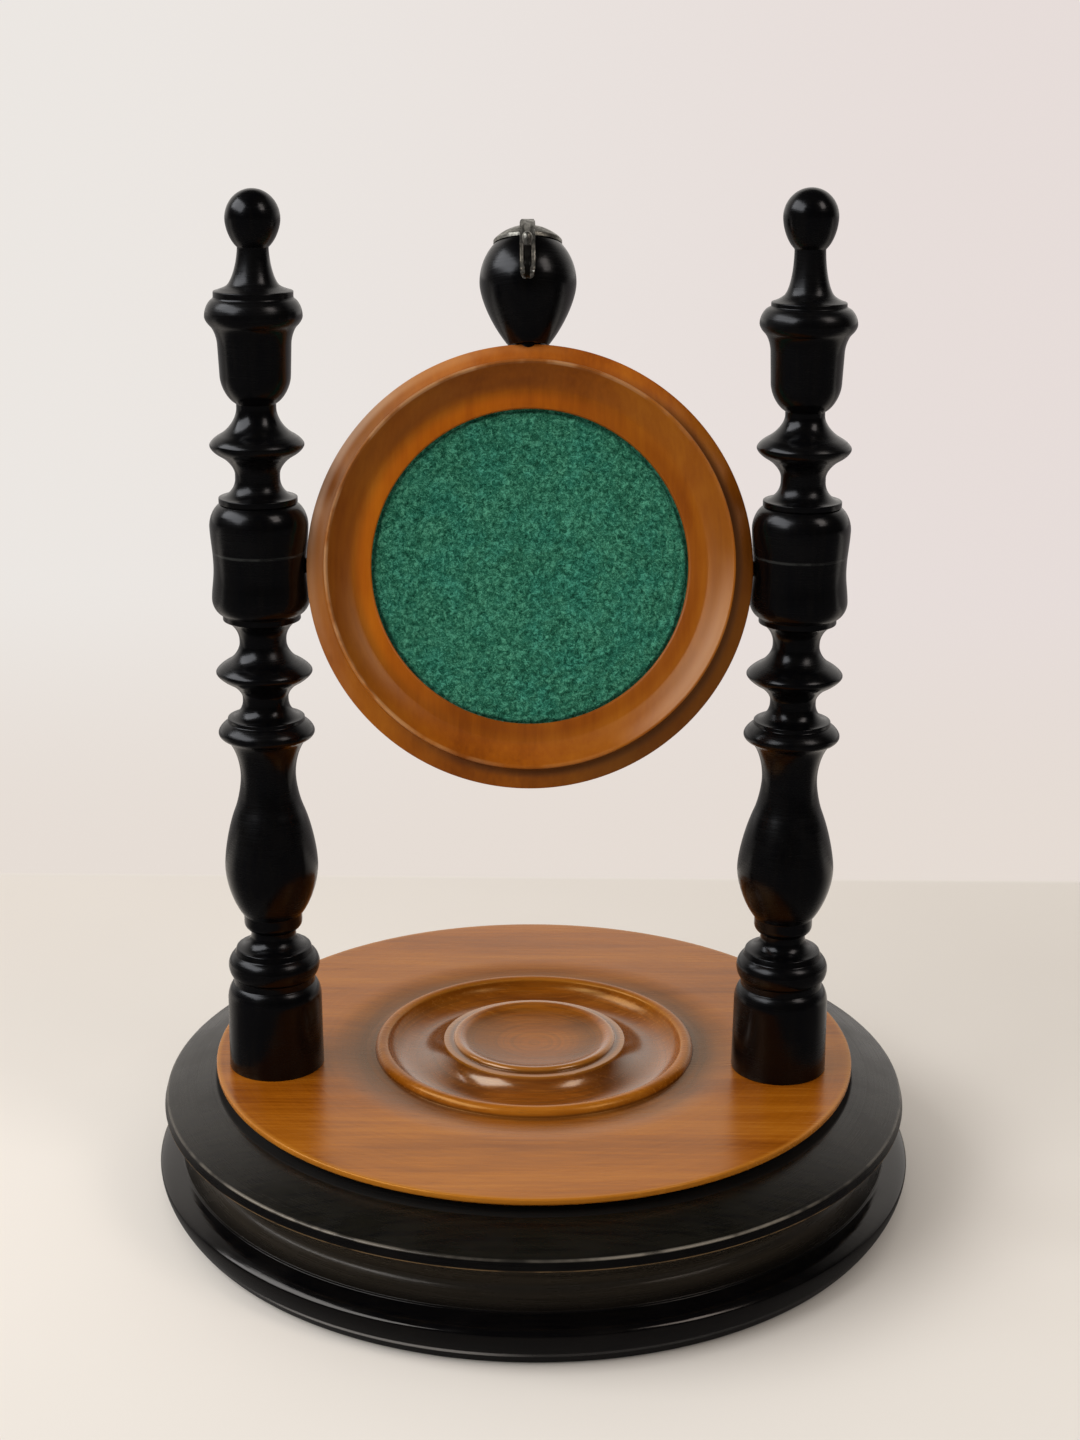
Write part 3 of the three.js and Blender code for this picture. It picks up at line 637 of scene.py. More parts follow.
# The ring's wood, with its grain up the ring. The hollow moulding is darker than the flat. Light
# and shade are painted into its colour by side and by height.
def ring_wood(name, dark, middle, light, rough):
    s = Shader(name, Specular_IOR_Level=0.4, Specular_Tint=(1.0, 0.74, 0.5))
    figure = s.noise(s.scaled(0.10, 0.014, 0.10), detail=3, rough=0.55, twist=0.6)
    fibre = s.noise(s.scaled(1.3, 0.09, 1.3), detail=3, rough=0.6)
    blotch = s.cloud(0.07, detail=3, rough=0.6)
    lines = s.noise(s.lathe(0.4), detail=2)
    mixed = s.weighted((figure, 0.5), (fibre, 0.2), (blotch, 0.3))
    colour = s.ramp(mixed, ((0.36, dark), (0.5, middle), (0.64, light)))

    radius, across, upward, height = s.radius(), s.coordinate(0), s.coordinate(1), s.coordinate(2)
    front = s.spread(height, *FRONT_HEIGHTS)
    # From -1 at the ring's lower right to 1 at its upper left, and from its foot to its top
    side = s.calc("DIVIDE", s.weighted((across, UPPER_LEFT[0]), (upward, UPPER_LEFT[1])), radius)
    up = s.calc("DIVIDE", upward, radius)

    uneven = s.spread(s.noise(s.lathe(3.0, 0.3), detail=2), 0.3, 0.7, 0.7, 1.0)
    wall = s.times(s.within(radius, *WALL_RADII), front, uneven)
    # The wall's grime, with painted shade towards the upper left; painted shade towards the lower
    # right too
    colour = s.blend(s.times(wall, s.spread(side, 0.0, 0.8, 0.12, 0.5)), colour, WALL_GRIME_AND_SHADE)
    colour = s.blend(s.times(wall, s.spread(side, -0.4, -0.95, 0.0, 0.3)), colour, WALL_SHADE)
    # Painted light on the flat towards the upper left, painted shade towards the lower right
    flat = s.times(s.spread(radius, *FLAT_RADII), front)
    colour = s.blend(s.times(flat, s.spread(side, -0.3, 0.7)), colour, FLAT_PAINTED_LIGHT, "MULTIPLY")
    colour = s.blend(s.times(flat, s.spread(side, 0.2, -0.6)), colour, FLAT_PAINTED_SHADE, "MULTIPLY")
    # Painted shadow in the quirk, towards the lower right
    quirk_shadow = s.times(s.within(radius, *QUIRK_RADII), front, s.spread(side, 0.35, -0.7, 0.0, 0.75))
    colour = s.blend(quirk_shadow, colour, QUIRK_PAINTED_SHADOW)

    roll = s.times(s.spread(radius, *ROLL_RADII), front)
    # Painted shade on the outer roll towards the lower right
    colour = s.blend(s.times(roll, s.spread(side, -0.35, -0.9, 0.0, 0.62)), colour, ROLL_PAINTED_SHADE)
    # A painted sheen and a painted highlight on the outer roll towards the upper left
    pale = s.times(roll, s.spread(side, 0.2, 1.0, 0.0, 0.5), s.spread(blotch, 0.35, 0.6, 0.4, 1.0))
    colour = s.blend(s.times(pale, s.spread(radius, 36.0, 37.3, 0.35, 1.0)), colour, ROLL_PAINTED_SHEEN)
    roll_highlight = s.times(s.spread(side, 0.86, 0.99, 0.0, 0.55), s.spread(radius, 36.3, 37.4), front)
    colour = s.blend(roll_highlight, colour, ROLL_PAINTED_HIGHLIGHT)

    # The crest's wear, lighter towards the upper left as a painted highlight
    worn = s.times(s.spread(s.attribute("crest"), 0.35, 0.9), s.spread(height, *CREST_HEIGHTS))
    worn = s.times(worn, s.spread(s.cloud(0.16, detail=3), 0.4, 0.6, 0.1, 0.85))
    colour = s.blend(s.times(worn, s.spread(side, -0.6, 0.4, 0.15, 1.0)), colour, CREST_WEAR_AND_HIGHLIGHT)
    # Painted light on the roll's top and on the wall's lower part
    colour = s.blend(s.times(roll, s.spread(up, 0.55, 0.95)), colour, ROLL_TOP_PAINTED_LIGHT, "MULTIPLY")
    colour = s.blend(s.times(wall, s.spread(up, -0.5, -0.95)), colour, WALL_LOWER_PAINTED_LIGHT, "MULTIPLY")
    # A painted highlight on the wall at the lower right
    highlight_mask = s.times(s.spread(side, -0.8, -0.98), s.spread(radius, 31.5, 33.8))
    highlight_mask = s.times(highlight_mask, s.spread(radius, 34.75, 34.3, 0.0, 0.36), front)
    colour = s.blend(highlight_mask, colour, WALL_PAINTED_HIGHLIGHT)

    gloss = s.spread(blotch, 0.3, 0.8, rough - 0.03, rough + 0.05)
    gloss = s.plus(gloss, s.spread(lines, 0.3, 0.8, 0, 0.05), s.times(quirk_shadow, 0.6))
    relief = s.weighted((fibre, 0.4), (lines, 0.6))
    return s.set(Base_Color=colour, Roughness=gloss, Normal=s.bump(relief, 0.012))


# Tufts of about the given size, dark between them and light at their tips, with tinted patches
def felted(name, deep, middle, tip, size, tint):
    s = Shader(name, Roughness=0.95, Specular_IOR_Level=0.1)
    s.set(Sheen_Weight=0.15, Sheen_Roughness=0.5, Sheen_Tint=tip)
    tuft = s.cloud(1 / size, detail=3, rough=0.65, twist=0.8)
    fibre = s.cloud(3.6 / size, detail=2, twist=1.5)
    mixed = s.weighted((tuft, 0.55), (fibre, 0.45))
    colour = s.ramp(mixed, ((0.37, deep), (0.5, middle), (0.63, tip)))
    patch = s.cloud(0.16, detail=4, rough=0.65)
    colour = s.blend(s.spread(patch, 0.42, 0.68), colour, tint, "MULTIPLY")
    return s.set(Base_Color=colour, Normal=s.bump(mixed, 0.55))


NOSE_DARKENING = (0.035, 0.032, 0.028)


# Worn metal, darker in front of the given place
def metal(name, base, stain, rough, nose=None):
    s = Shader(name, Metallic=1.0)
    cloud = s.cloud(0.9, detail=4, rough=0.65)
    scratch = s.noise(s.scaled(3, 3, 0.5), detail=2)
    colour = s.blend(s.spread(cloud, 0.4, 0.68), base, stain)
    gloss = s.spread(cloud, 0.3, 0.7, rough - 0.08, rough + 0.14)
    if nose:
        colour = s.blend(s.spread(s.coordinate(1), nose + 0.5, nose - 0.5), colour, NOSE_DARKENING)
    return s.set(Base_Color=colour, Roughness=gloss, Normal=s.bump(scratch, 0.015))


# Woods and cloths, each from its dark to its light colour
DISC_COLOURS = ((0.20, 0.048, 0.0016), (0.315, 0.086, 0.0032), (0.40, 0.125, 0.007))
RING_COLOURS = ((0.18, 0.040, 0.0008), (0.265, 0.068, 0.0012), (0.33, 0.098, 0.0025))
BOARD_COLOURS = ((0.12, 0.05, 0.02), (0.2, 0.09, 0.035), (0.27, 0.13, 0.055))
FELT_COLOURS = ((0.002, 0.036, 0.020), (0.0235, 0.155, 0.091), (0.115, 0.42, 0.27))
BAIZE_COLOURS = ((0.012, 0.07, 0.035), (0.02, 0.12, 0.06), (0.04, 0.17, 0.09))

# The posts' scribed lines and the painted shade of the peg hole are placed in each post's own
# millimetres
ACROSS_GRAIN = (0.045, 0.9, 0.9)
UPWARD_GRAIN = (0.9, 0.9, 0.05)
BLACK_BASE = ebonised("ebonised_base", ACROSS_GRAIN, 0.2, base=True)
BLACK_LEFT = ebonised("ebonised_left", UPWARD_GRAIN, 0.16, scribed=95.9)
BLACK_RIGHT = ebonised("ebonised_right", UPWARD_GRAIN, 0.16, scribed=95.8, peg=(7.95, -3.3, 95.9))
BLACK_FINIAL = ebonised("ebonised_finial", UPWARD_GRAIN, 0.13)
DARKER_RINGS = (
    (29.6, 30.6, 31.6, 39, 0.5, 0.85),
    (15.0, 16.6, 19, 26.5, 0.12, 0.65),
    (5, 10.5, 12.5, 13.4, 0.2, 0.6),
)
DISC_WOOD = polished("polished_disc", *DISC_COLOURS, 0.24, DARKER_RINGS)
RING_WOOD = ring_wood("polished_ring", *RING_COLOURS, 0.31)
BOARD_WOOD = polished("plain_board", *BOARD_COLOURS, 0.6)
GREEN_FELT = felted("green_felt", *FELT_COLOURS, 0.8, (0.8, 0.98, 1.06))
BAIZE = felted("base_baize", *BAIZE_COLOURS, 0.5, (0.9, 0.95, 0.9))
WHITE_METAL = metal("white_metal", (0.34, 0.33, 0.29), (0.12, 0.112, 0.10), 0.4, nose=-11.4)
DARK_STEEL = metal("pin_steel", (0.06, 0.055, 0.05), (0.02, 0.018, 0.016), 0.5)


# The base, from the recess under it, round the bead foot, the cove and the rim, to the disc's seat
def plinth_profile():
    p = Profile(0, 1.2)
    p.line(62.1, 0).line(62.1, -1.2).line(67, 0)
    p.curve(70, 6.4, 45, 0).curve(65.9, 1.9, 0, -78).line(65.9, 0.4)
    p.curve(61.7, 2.1, -90, 0).curve(67.5, 6.4, 0, 62).line(68.75, 0.25).line(68.3, 1.7)
    p.curve(57.6, 3.05, -66, -80).line(57.6, 0.7).line(56.8, 0).line(56.8, -4.2).line(0, 0)
    return p


# The disc, from its underside to its edge, then inwards over the turned ring, the moat and the dish
def disc_profile():
    p = Profile(0, 19.2)
    p.line(56.65, 0).line(56.65, 3.7).line(57.3, 0)
    p.line(58.75, 0.9).curve(59.05, 0.35, 55, 0).line(59.05, 0.5).curve(58.75, 0.35, 0, -90)
    p.line(39.0, 0).curve(31.4, -0.6, -89, -88).line(29.8, 0.1)
    p.curve(28.5, 1.65, 0, -90).curve(27.3, -0.6, -90, 0)
    p.curve(22.3, -3.0, -15, -90).curve(16.9, 3.6, -90, -15).line(15.2, 0)
    p.curve(14.4, 0.8, 0, -90).curve(13, -0.5, -90, -60).curve(0, -1.45, -65, -90)
    return p


# What differs between the two hand-turned posts
LEFT_HAND = {
    "belly": 8.25, "urn_drop": 0, "rim_rise": 2.9, "cap": 6.65, "cap_edge": 1.0,
    "cone": 6.2, "flare": (-48, -2), "ball_drop": 4.6, "ball_rise": 4.83,
}
RIGHT_HAND = {
    "belly": 8.55, "urn_drop": 0.7, "rim_rise": 2.6, "cap": 6.3, "cap_edge": 0.75,
    "cone": 7.72, "flare": (-62, 0), "ball_drop": 5.17, "ball_rise": 4.7,
}


# A post from its foot to its ball, with its foot at height 0
def post_profile(hand):
    p = Profile(0, -1)
    p.line(4, 0).line(4, 1).line(8.6, 0).line(8.45, 13.3)
    p.curve(7.3, 3, 0, -55).line(7.3, 1.2)
    p.bead(8.2, 2.3, 60, 7, 2.2, -60).line(6.65, 1.1)
    p.curve(4, 2.6, -85, 0).line(4, 0.7).curve(5.2, 1.5, 75, 0).line(5.2, 1.5)
    p.curve(hand["belly"], 9.2, 40, 0).curve(6.1, 10.7, 0, -22).curve(4.85, 6.3, -22, 0)
    p.curve(7.1, 6.7, 0, 52)
    p.bead(8.4, 1.3, 75, 6.7, 2, -62).line(6.7, 0.7)
    p.curve(3.98, 3.1, -88, 0).line(3.98, 0.5).curve(6.2, 2.7, 0, 62)
    p.bead(8.35, 1.95, 62, 6.2, 1.95, -62)
    p.curve(4.05, 3.3, -62, 0).line(4.05, 0.4).curve(6.7, 3.65, 0, 75)
    p.line(6.7, 1).curve(8.42, 2.8, 72, 0).curve(7.97, 5.6, -2, 0).curve(8.42, 7, 0, 2)
    p.curve(6.3, 4, 0, -68).line(6.7, 0).line(6.7, 1)
    p.curve(3.8, 3.2, -88, 0).line(3.8, 0.7).curve(6.3, 3.2, 0, 62)
    p.bead(8, 1.8, 62, 6.3, 1.75, -62)
    p.curve(3.35, 4.5 - hand["urn_drop"], -62, 0).line(3.35, 0.7)
    p.curve(5.95, 4.7, 62, 2).line(6.15, 4.9).curve(7.3, 3.4, 0, 48)
    p.bead(8.15, 1.5, 48, 6.8, hand["rim_rise"], -62)
    p.line(hand["cap"], 0.25).line(hand["cap"], hand["cap_edge"])
    p.curve(4.4, 0.9, -75, -45).curve(2.6, hand["cone"], *hand["flare"])
    p.bead(4.57, hand["ball_drop"], 50, 0, hand["ball_rise"], -90)
    return p


# The posts are a little crooked: they lean in at the belly and again at the top
def bowed(post, way):
    mesh = post.data
    places = np.empty(len(mesh.vertices) * 3)
    mesh.vertices.foreach_get("co", places)
    places = places.reshape(-1, 3)
    height = places[:, 2] / MM
    lean = 0.24 * (1 - smooth(height, 66, 88)) + 0.15 * np.exp(-((height - 36) / 15) ** 2)
    lean += 0.18 * smooth(height, 104, 124) + 0.34 * smooth(height, 134, 154)
    places[:, 0] += way * lean * MM
    mesh.vertices.foreach_set("co", places.ravel())
    mesh.update()


def build_base():
    plinth = turned("plinth_turned", plinth_profile(), at(0, 0, 0), BLACK_BASE, 256, 0.22)
    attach(plinth, "stand")
    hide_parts("base_plinth")
    disc = turned("disc_turned", disc_profile(), at(0, 0, 0), DISC_WOOD, 256, 0.14)
    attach(disc, "stand")
    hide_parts("base_top")
    sheet = Profile(0, 0.1)
    sheet.line(61.9, 0).line(61.9, 1).line(0, 0)
    cloth = turned("baize_sheet", sheet, at(0, 0, 0), BAIZE, 192, 0.3)
    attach(cloth, "stand")
    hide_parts("base_baize")


def build_posts():
    rise = PIVOT_Z - DISC_TOP
    posts = (("left", -1, LEFT_HAND, BLACK_LEFT), ("right", 1, RIGHT_HAND, BLACK_RIGHT))
    for side, way, hand, black in posts:
        place = at(PAIR_X + way * POST_REACH, PAIR_Y, DISC_TOP)
        post = turned(f"{side}_post_turned", post_profile(hand), place, black)
        bowed(post, -way)
        bored(post, (-20, 0, rise), (20, 0, rise), PIN_BORE)
        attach(post, "stand")
        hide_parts(f"{side}_post")
        low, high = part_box(f"{side}_pivot_pin")
        length = (high.x - low.x) / MM
        rod = Profile(0, 0)
        rod.line(1.0, 0).line(1.25, 0.3).line(1.25, length - 0.6).line(1.0, 0.3).line(0, 0)
        start = Matrix.Translation(Vector((low.x, (low.y + high.y) / 2, (low.z + high.z) / 2)))
        lie = Matrix.Rotation(QUARTER_TURN, 4, "Y")
        pin = turned(f"{side}_pin_turned", rod, start @ lie, DARK_STEEL, 32, 0.05)
        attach(pin, "stand")
        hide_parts(f"{side}_pivot_pin")


# The holder, in its own frame: X along the pivot, Z up the ring, -Y forward. The ring, felt and
# board are turned facing forward, with their own Y up the ring. The finial leans a little.
HOLDER = at(PAIR_X, PAIR_Y, PIVOT_Z) @ Matrix.Rotation(math.radians(-REST_TILT), 4, "X")
FACING = HOLDER @ Matrix.Rotation(QUARTER_TURN, 4, "X")
FINIAL = HOLDER @ Matrix.Rotation(math.radians(-FINIAL_LEAN), 4, "Y") @ at(0, -1, 0)


# The ring, from its rear rebate round the outer roll, quirk, crest and wall to the felt's lip
def ring_profile():
    p = Profile(31.0, -3.5)
    p.line(36.6, 0).curve(38.08, 6.3, 20, 0).curve(35.35, 1.3, 0, -68)
    p.line(34.98, 0.1).line(34.88, 1.5).line(34.5, 0.1)
    p.curve(30.3, -2.95, -42, -70).line(27.55, -0.22).curve(27.05, -0.3, -80, -5)
    p.line(27.05, -0.63).line(28.8, 0).line(28.8, -2.1).line(31.0, 0).line(31.0, -2.9)
    return p


# The felt: a pad with an uneven nap, rounded down where the ring's lip holds it
FELT_REACH, FELT_HELD = 26.82, 28.45
FELT_BACK, FELT_EDGE, FELT_FACE = -0.9, 0.9, 1.5
FELT_SIDES, FELT_RINGS = 300, 120
NAP_SEED = 4


def nap(x, y, radius):
    spot = Vector((x, y, 0))
    warp = noise.noise_vector(spot / 2.5) * 0.6
    tuft = noise.fractal((spot + warp) / 1.0, 0.7, 2.2, 3)
    wide = noise.noise(spot / 6 + Vector((9, 3, 5)))
    lift = (0.24 + 0.16 * smooth(radius, 14, 25)) * tuft + 0.12 * wide - 0.16
    return lift - 0.5 * smooth(radius, 26.5, FELT_REACH)


def felt_pad():
    noise.seed_set(NAP_SEED)
    held = [(FELT_HELD, FELT_BACK), (FELT_HELD, FELT_EDGE), (27.6, FELT_EDGE), (27.0, FELT_EDGE)]
    rows = held + [(r, FELT_FACE) for r in np.linspace(FELT_REACH, 0.3, FELT_RINGS)]
    verts, faces = [], []
    for index, (radius, height) in enumerate(rows):
        for k in range(FELT_SIDES):
            a = 2 * math.pi * k / FELT_SIDES
            x, y = radius * math.cos(a), radius * math.sin(a)
            lift = nap(x, y, radius) if index >= len(held) else 0
            verts.append((x * MM, y * MM, (height + lift) * MM))
    for start in range(0, (len(rows) - 1) * FELT_SIDES, FELT_SIDES):
        after = start + FELT_SIDES
        for k in range(FELT_SIDES):
            n = (k + 1) % FELT_SIDES
            faces.append([start + k, start + n, after + n, after + k])
    last = (len(rows) - 1) * FELT_SIDES
    faces.append([last + k for k in range(FELT_SIDES)])
    faces.append(list(range(FELT_SIDES))[::-1])
    return new_object("felt_nap", new_mesh("felt_nap", verts, faces, GREEN_FELT), FACING)


# The finial's crown, and the rose: a thin shell over it
CROWN_RADIUS, CROWN_LEVEL, CROWN_RISE = 8.25, 49.2, 9.2
ROSE_GAP, ROSE_THICKNESS = 0.15, 0.5
ROSE_HOLE, ROSE_RIM = 0.95, 5.95


def rose_profile():
    def arc(lift):
        angles = [math.asin(radius / (CROWN_RADIUS + lift)) for radius in (ROSE_HOLE, ROSE_RIM)]
        return np.array([
            ((CROWN_RADIUS + lift) * math.sin(a), CROWN_LEVEL + (CROWN_RISE + lift) * math.cos(a))
            for a in np.linspace(*angles, 20)
        ])

    inner = arc(ROSE_GAP)
    outer = arc(ROSE_GAP + ROSE_THICKNESS)[::-1]
    p = Profile(*inner[0])
    p.runs = [inner, np.array([inner[-1], outer[0]]), outer, np.array([outer[-1], inner[0]])]
    return p


# A bent strip: its path runs in the forward and upward directions, and its width may change along
# it. It has six columns of points on each face, and a slot leaves out the middle cell.
STRIP_COLUMNS = 6
MIDDLE_CELL = 2
LEAST_SLOT = 0.05


def strip(path, half_width, slot, thickness):
    path = np.array(path)
    along = lengths(path)
    way = np.gradient(path, axis=0)
    way /= np.linalg.norm(way, axis=1)[:, None]
    normal = np.stack([way[:, 1], -way[:, 0]], axis=1)
    verts, faces = [], []
    for side in (1, -1):
        for (f, s), (nf, ns), t in zip(path, normal, along):
            w = half_width(t)
            gap = slot(t) if slot else w * 0.4
            off = side * thickness / 2
            for x in (-w, -(w + gap) / 2, -gap, gap, (w + gap) / 2, w):
                verts.append((x * MM, -(f + nf * off) * MM, (s + ns * off) * MM))
    rows = len(path)
    open_rows = [bool(slot) and slot(t) > LEAST_SLOT for t in along]

    def cell(side, i, j):
        return side * rows * STRIP_COLUMNS + i * STRIP_COLUMNS + j

    def filled(i, j):
        inside = 0 <= i < rows - 1 and 0 <= j < STRIP_COLUMNS - 1
        return inside and not (j == MIDDLE_CELL and open_rows[i] and open_rows[i + 1])

    for i in range(rows - 1):
        for j in range(STRIP_COLUMNS - 1):
            if not filled(i, j):
                continue
            corners = ((i, j), (i, j + 1), (i + 1, j + 1), (i + 1, j))
            faces.append([cell(0, *c) for c in corners])
            faces.append([cell(1, *corners[k]) for k in (0, 3, 2, 1)])
            edges = (
                ((i, j - 1), (i, j), (i + 1, j)),
                ((i, j + 1), (i + 1, j + 1), (i, j + 1)),
                ((i - 1, j), (i, j + 1), (i, j)),
                ((i + 1, j), (i + 1, j), (i + 1, j + 1)),
            )
            for beside, a, b in edges:
                if not filled(*beside):
                    faces.append([cell(0, *a), cell(1, *a), cell(1, *b), cell(0, *b)])
    return verts, faces


def lengths(path):
    return np.concatenate([[0], np.cumsum(np.linalg.norm(np.diff(path, axis=0), axis=1))])


# The hook: a strip that follows the crown down to a bend, with a window and a pointed end, and a
# narrower nose that rises from the bend and ends in a drop
STEM_FRONT, STEM_RISE, STEM_TOP = 9.45, 10.4, math.radians(97)
BEND_LEVEL, BEND_RADIUS = 49.1, 1.6
BEND_CENTRE = STEM_FRONT + BEND_RADIUS
NOSE_FRONT = BEND_CENTRE + BEND_RADIUS
STEM_THICKNESS, NOSE_THICKNESS = 0.8, 0.7
POINT_LENGTH, POINT_LEAST, POINT_SWELL = 3.0, 0.12, 1.2
TOP_WIDTH, LEAF_SWELL = 0.95, 0.37
WINDOW_END, WINDOW_START, WINDOW_WIDTH = 2.0, 9.3, 0.66
EDGE_ROUNDING = 0.14


def round_bend(start, end, count):
    return [
        (BEND_CENTRE + BEND_RADIUS * math.cos(a), BEND_LEVEL + BEND_RADIUS * math.sin(a))
        for a in np.linspace(HALF_TURN * start, HALF_TURN * end, count)
    ]


def hook_mesh():
    over = np.linspace(STEM_TOP, 0, 40)
    path = [(STEM_FRONT * math.cos(a), CROWN_LEVEL + STEM_RISE * math.sin(a)) for a in over]
    path.append((STEM_FRONT, BEND_LEVEL))
    path += round_bend(1.03, 1.5, 9)
    total = lengths(np.array(path))[-1]

    def leaf(t):
        left = max(total - t, 0)
        if left < POINT_LENGTH:
            return POINT_LEAST + POINT_SWELL * math.sin(QUARTER_TURN * left / POINT_LENGTH) ** 0.7
        return TOP_WIDTH + LEAF_SWELL * float(smooth(t, 3.0, 7.0))

    def window(t):
        left = total - t
        if left < WINDOW_END or left > WINDOW_START:
            return 0.0
        end = min((left - WINDOW_END) / 1.4, (WINDOW_START - left) / 0.8, 1)
        return WINDOW_WIDTH * math.sqrt(max(end, 0.0))

    verts, faces = strip(path, leaf, window, STEM_THICKNESS)
    nose = round_bend(1.42, 2, 10)
    nose += [(NOSE_FRONT, h) for h in np.linspace(BEND_LEVEL + 0.4, BEND_LEVEL + 4.2, 8)]
    more, cells = strip(nose, lambda t: 0.38 + 0.1 * min(t / 3, 1), None, NOSE_THICKNESS)
    base = len(verts)
    faces += [[v + base for v in f] for f in cells]
    hook = new_object("hook_bent", new_mesh("hook_bent", verts + more, faces, WHITE_METAL), FINIAL)
    edge = hook.modifiers.new("edge", "BEVEL")
    edge.width = EDGE_ROUNDING * MM
    edge.segments = 3
    edge.limit_method = "ANGLE"
    edge.angle_limit = math.radians(50)
    finished(hook)
    hook.data.shade_smooth()
    return hook


def hook_drop():
    p = Profile(0, 52.0)
    p.curve(0.55, 0.25, 90, 20).curve(0.88, 1.3, 12, 0).curve(0, 1.05, 0, -90)
    return turned("hook_drop", p, FINIAL @ at(0, -NOSE_FRONT, 0), WHITE_METAL, 40, 0.05)


def build_holder():
    ring = turned("ring_turned", ring_profile(), FACING, RING_WOOD, 256)
    for way in (-1, 1):
        bored(ring, (way * 32.85, 0, 0), (way * 42.0, 0, 0), PIN_BORE)
    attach(ring, "holder")
    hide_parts("holder_ring")

    felt = felt_pad()
    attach(felt, "holder")
    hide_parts("felt_pad")

    plate = Profile(0, -3.2)
    plate.line(30.7, 0).line(30.7, 2).line(0, 0)
    board = turned("back_board", plate, FACING, BOARD_WOOD, 192, 0.3)
    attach(board, "holder")
    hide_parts("holder_back")

    onion = Profile(0, 37.2)
    onion.line(2.2, 0).line(2.2, 0.95).line(3.35, 0)
    onion.curve(8.38, 11.05, 40, 0).curve(0, CROWN_RISE, 0, -90)
    finial = turned("finial_turned", onion, FINIAL, BLACK_FINIAL, soft=0.12)
    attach(finial, "holder")
    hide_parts("holder_finial")

    rose = turned("rose_domed", rose_profile(), FINIAL, WHITE_METAL, 96, 0.12)
    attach(rose, "holder")
    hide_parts("hook_rose")

    hook = hook_mesh()
    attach(hook, "holder")
    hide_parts("watch_hook")
    drop = hook_drop()
    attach(drop, "holder")


# Floor, background and light
WALL = (0.82, 0.78, 0.74)
WALL_LEFT = (0.838, 0.80, 0.765)
WALL_RIGHT = (0.795, 0.718, 0.695)
WALL_FOOT = (0.785, 0.71, 0.65)
TABLE = (0.82, 0.77, 0.705)
TABLE_PATCH = (0.80, 0.745, 0.68)
TABLE_FAR, TABLE_NEAR = (0.90, 0.895, 0.89), (0.95, 0.965, 0.975)
IN_THE_POLISH = (0.03, 0.03, 0.034)
TABLE_END = 152
WALL_TURN = 0.25
FLOOR_SIZE = 6.0


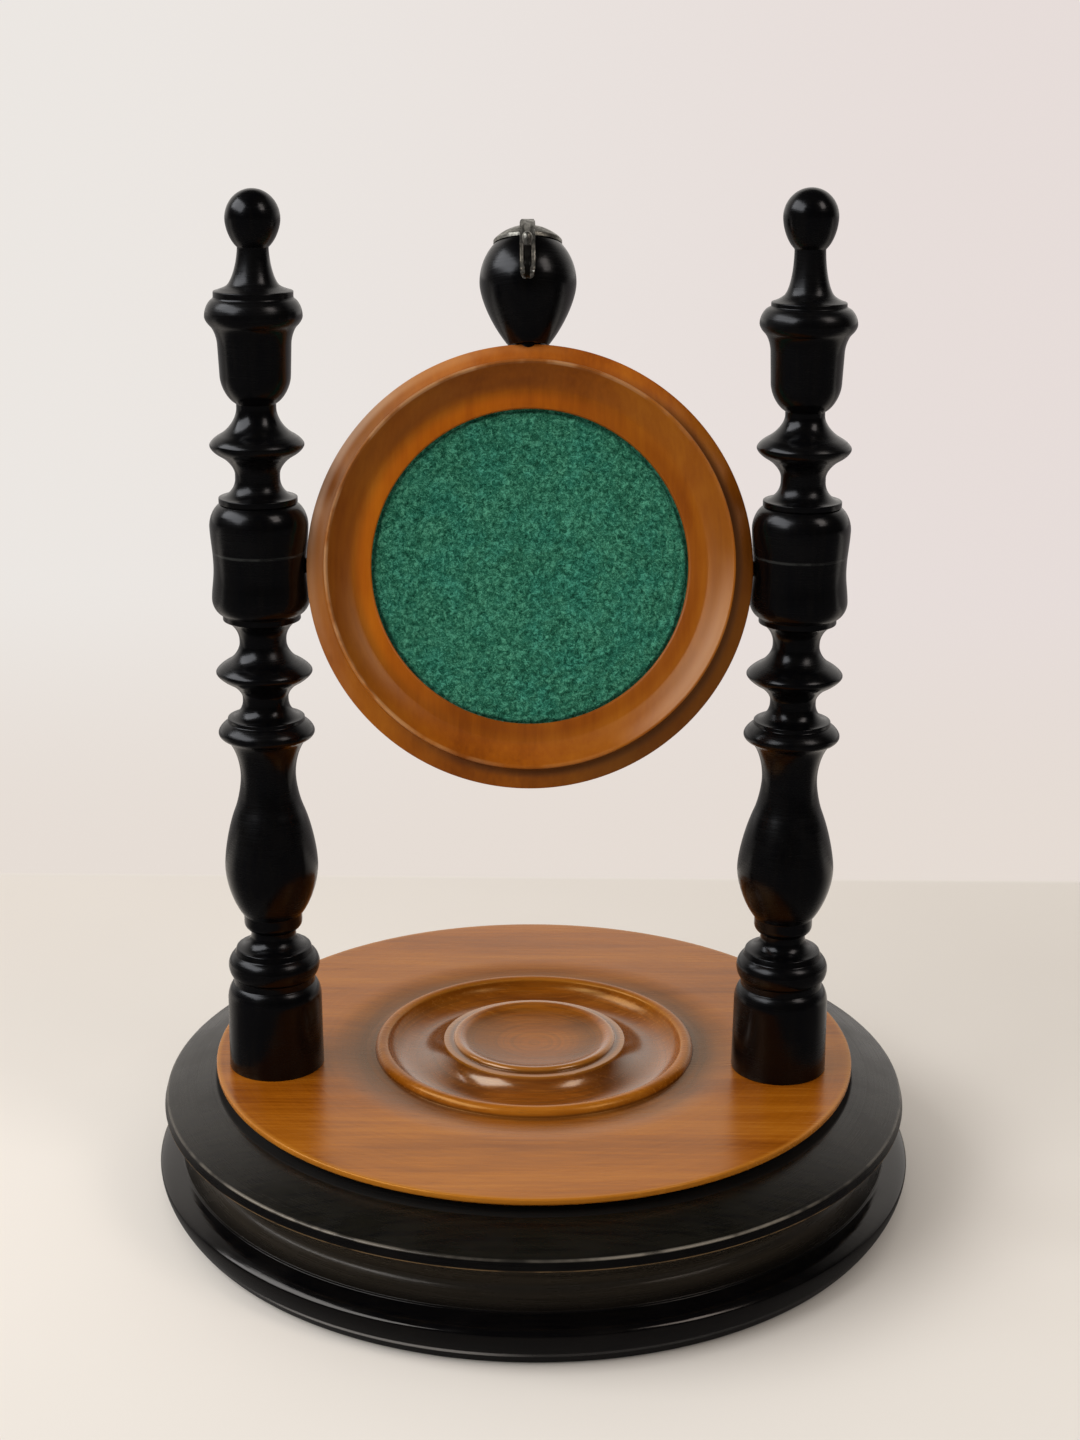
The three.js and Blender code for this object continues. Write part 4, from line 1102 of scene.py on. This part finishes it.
# Beyond the table's end the floor shows the wall, and far from the stand it shows the table's plain
# colour. The polished wood mirrors it much darker, apart from the part behind the stand.
def build_stage():
    e = FLOOR_SIZE
    mesh = new_mesh("floor", [(-e, -e, 0), (e, -e, 0), (e, e, 0), (-e, e, 0)], [[0, 1, 2, 3]])
    floor = new_object("floor", mesh, Matrix.Identity(4))
    s = Shader("floor", Roughness=0.9, Specular_IOR_Level=0.0)
    across, ahead, radius = s.coordinate(0), s.coordinate(1), s.radius()
    mirrored = s.add("LightPath").outputs["Is Glossy Ray"]
    near = s.spread(radius, 72, 110, 0.16, 0.06)
    lit = s.calc("MAXIMUM", near, s.spread(ahead, -30, 100))
    dark = s.times(mirrored, s.calc("SUBTRACT", 1.0, lit))

    table = s.blend(s.spread(s.cloud(0.004, detail=4, rough=0.6), 0.3, 0.7), TABLE, TABLE_PATCH)
    table = s.blend(s.spread(ahead, -20, TABLE_END), table, TABLE_FAR, "MULTIPLY")
    table = s.blend(s.spread(ahead, -20, -120), table, TABLE_NEAR, "MULTIPLY")
    s.set(Base_Color=s.blend(dark, table, IN_THE_POLISH))

    aside = s.calc("DIVIDE", across, s.plus(s.off(ahead), 400))
    backdrop = s.blend(s.spread(aside, -WALL_TURN, WALL_TURN), WALL_LEFT, WALL_RIGHT)
    backdrop = s.blend(s.times(s.spread(ahead, 500, 150), 0.85), backdrop, WALL_FOOT)
    backdrop = s.blend(s.times(mirrored, 0.6), backdrop, IN_THE_POLISH)
    beyond = s.spread(ahead, TABLE_END - 1.5, TABLE_END + 1.5)
    plain = s.blend(dark, TABLE, IN_THE_POLISH)
    glow = s.glow("Emission", s.blend(beyond, plain, backdrop), 1.0)
    far = s.calc("MAXIMUM", beyond, s.spread(radius, 270, 500))
    shown = s.times(far, s.seen_rays())
    s.put(s.out, s.between(shown, s.surface.outputs[0], glow))
    mesh.materials.append(s.material)


# The room: a pale wall, mostly dark in the polish, and a fill that is stronger from the left
def build_world():
    world = bpy.data.worlds.new("room")
    bpy.context.scene.world = world
    world.use_nodes = True
    s = Nodes(world.node_tree, "Generated")
    x, y, z = s.split()
    backdrop = s.blend(s.spread(x, -WALL_TURN, WALL_TURN), WALL_LEFT, WALL_RIGHT)
    shown = s.glow("Background", backdrop, 1.0)
    behind = s.times(s.spread(y, 0.15, 0.75), s.spread(z, 0.5, 0.8, 1.0, 0.0))
    mirrored = s.glow("Background", WALL, s.plus(behind, 0.025))
    seen = s.between(s.add("LightPath").outputs["Is Glossy Ray"], shown, mirrored)
    strength = s.times(s.spread(x, -0.9, 0.9, 0.80, 0.33), s.spread(z, 0.2, 0.9, 0.85, 1.25))
    fill = s.glow("Background", (1.0, 0.97, 0.94), strength)
    s.put(s.add("OutputWorld").inputs["Surface"], s.between(s.seen_rays(), fill, seen))


# Windows that face the middle of the stand
LIT_PLACE = Vector((0, 0, 0.11))


def window_light(name, place, width, height, radiance, colour):
    data = bpy.data.lights.new(name, "AREA")
    data.shape = "RECTANGLE"
    data.size = width
    data.size_y = height
    data.energy = radiance * math.pi * width * height
    data.color = colour
    lamp = bpy.data.objects.new(name, data)
    lamp.location = place
    lamp.rotation_euler = (LIT_PLACE - Vector(place)).to_track_quat("-Z", "Y").to_euler()
    lamp.visible_camera = False
    bpy.context.scene.collection.objects.link(lamp)


make_camera()
build_base()
build_posts()
build_holder()
build_stage()
build_world()
window_light("window_left", (-0.915, -0.27, 0.92), 1.35, 0.6, 4.6, (0.97, 0.98, 1.0))
window_light("window_right", (0.72, -0.504, 0.926), 0.36, 0.46, 4.0, (1.0, 0.90, 0.83))

bpy.context.scene.view_settings.view_transform = "Standard"
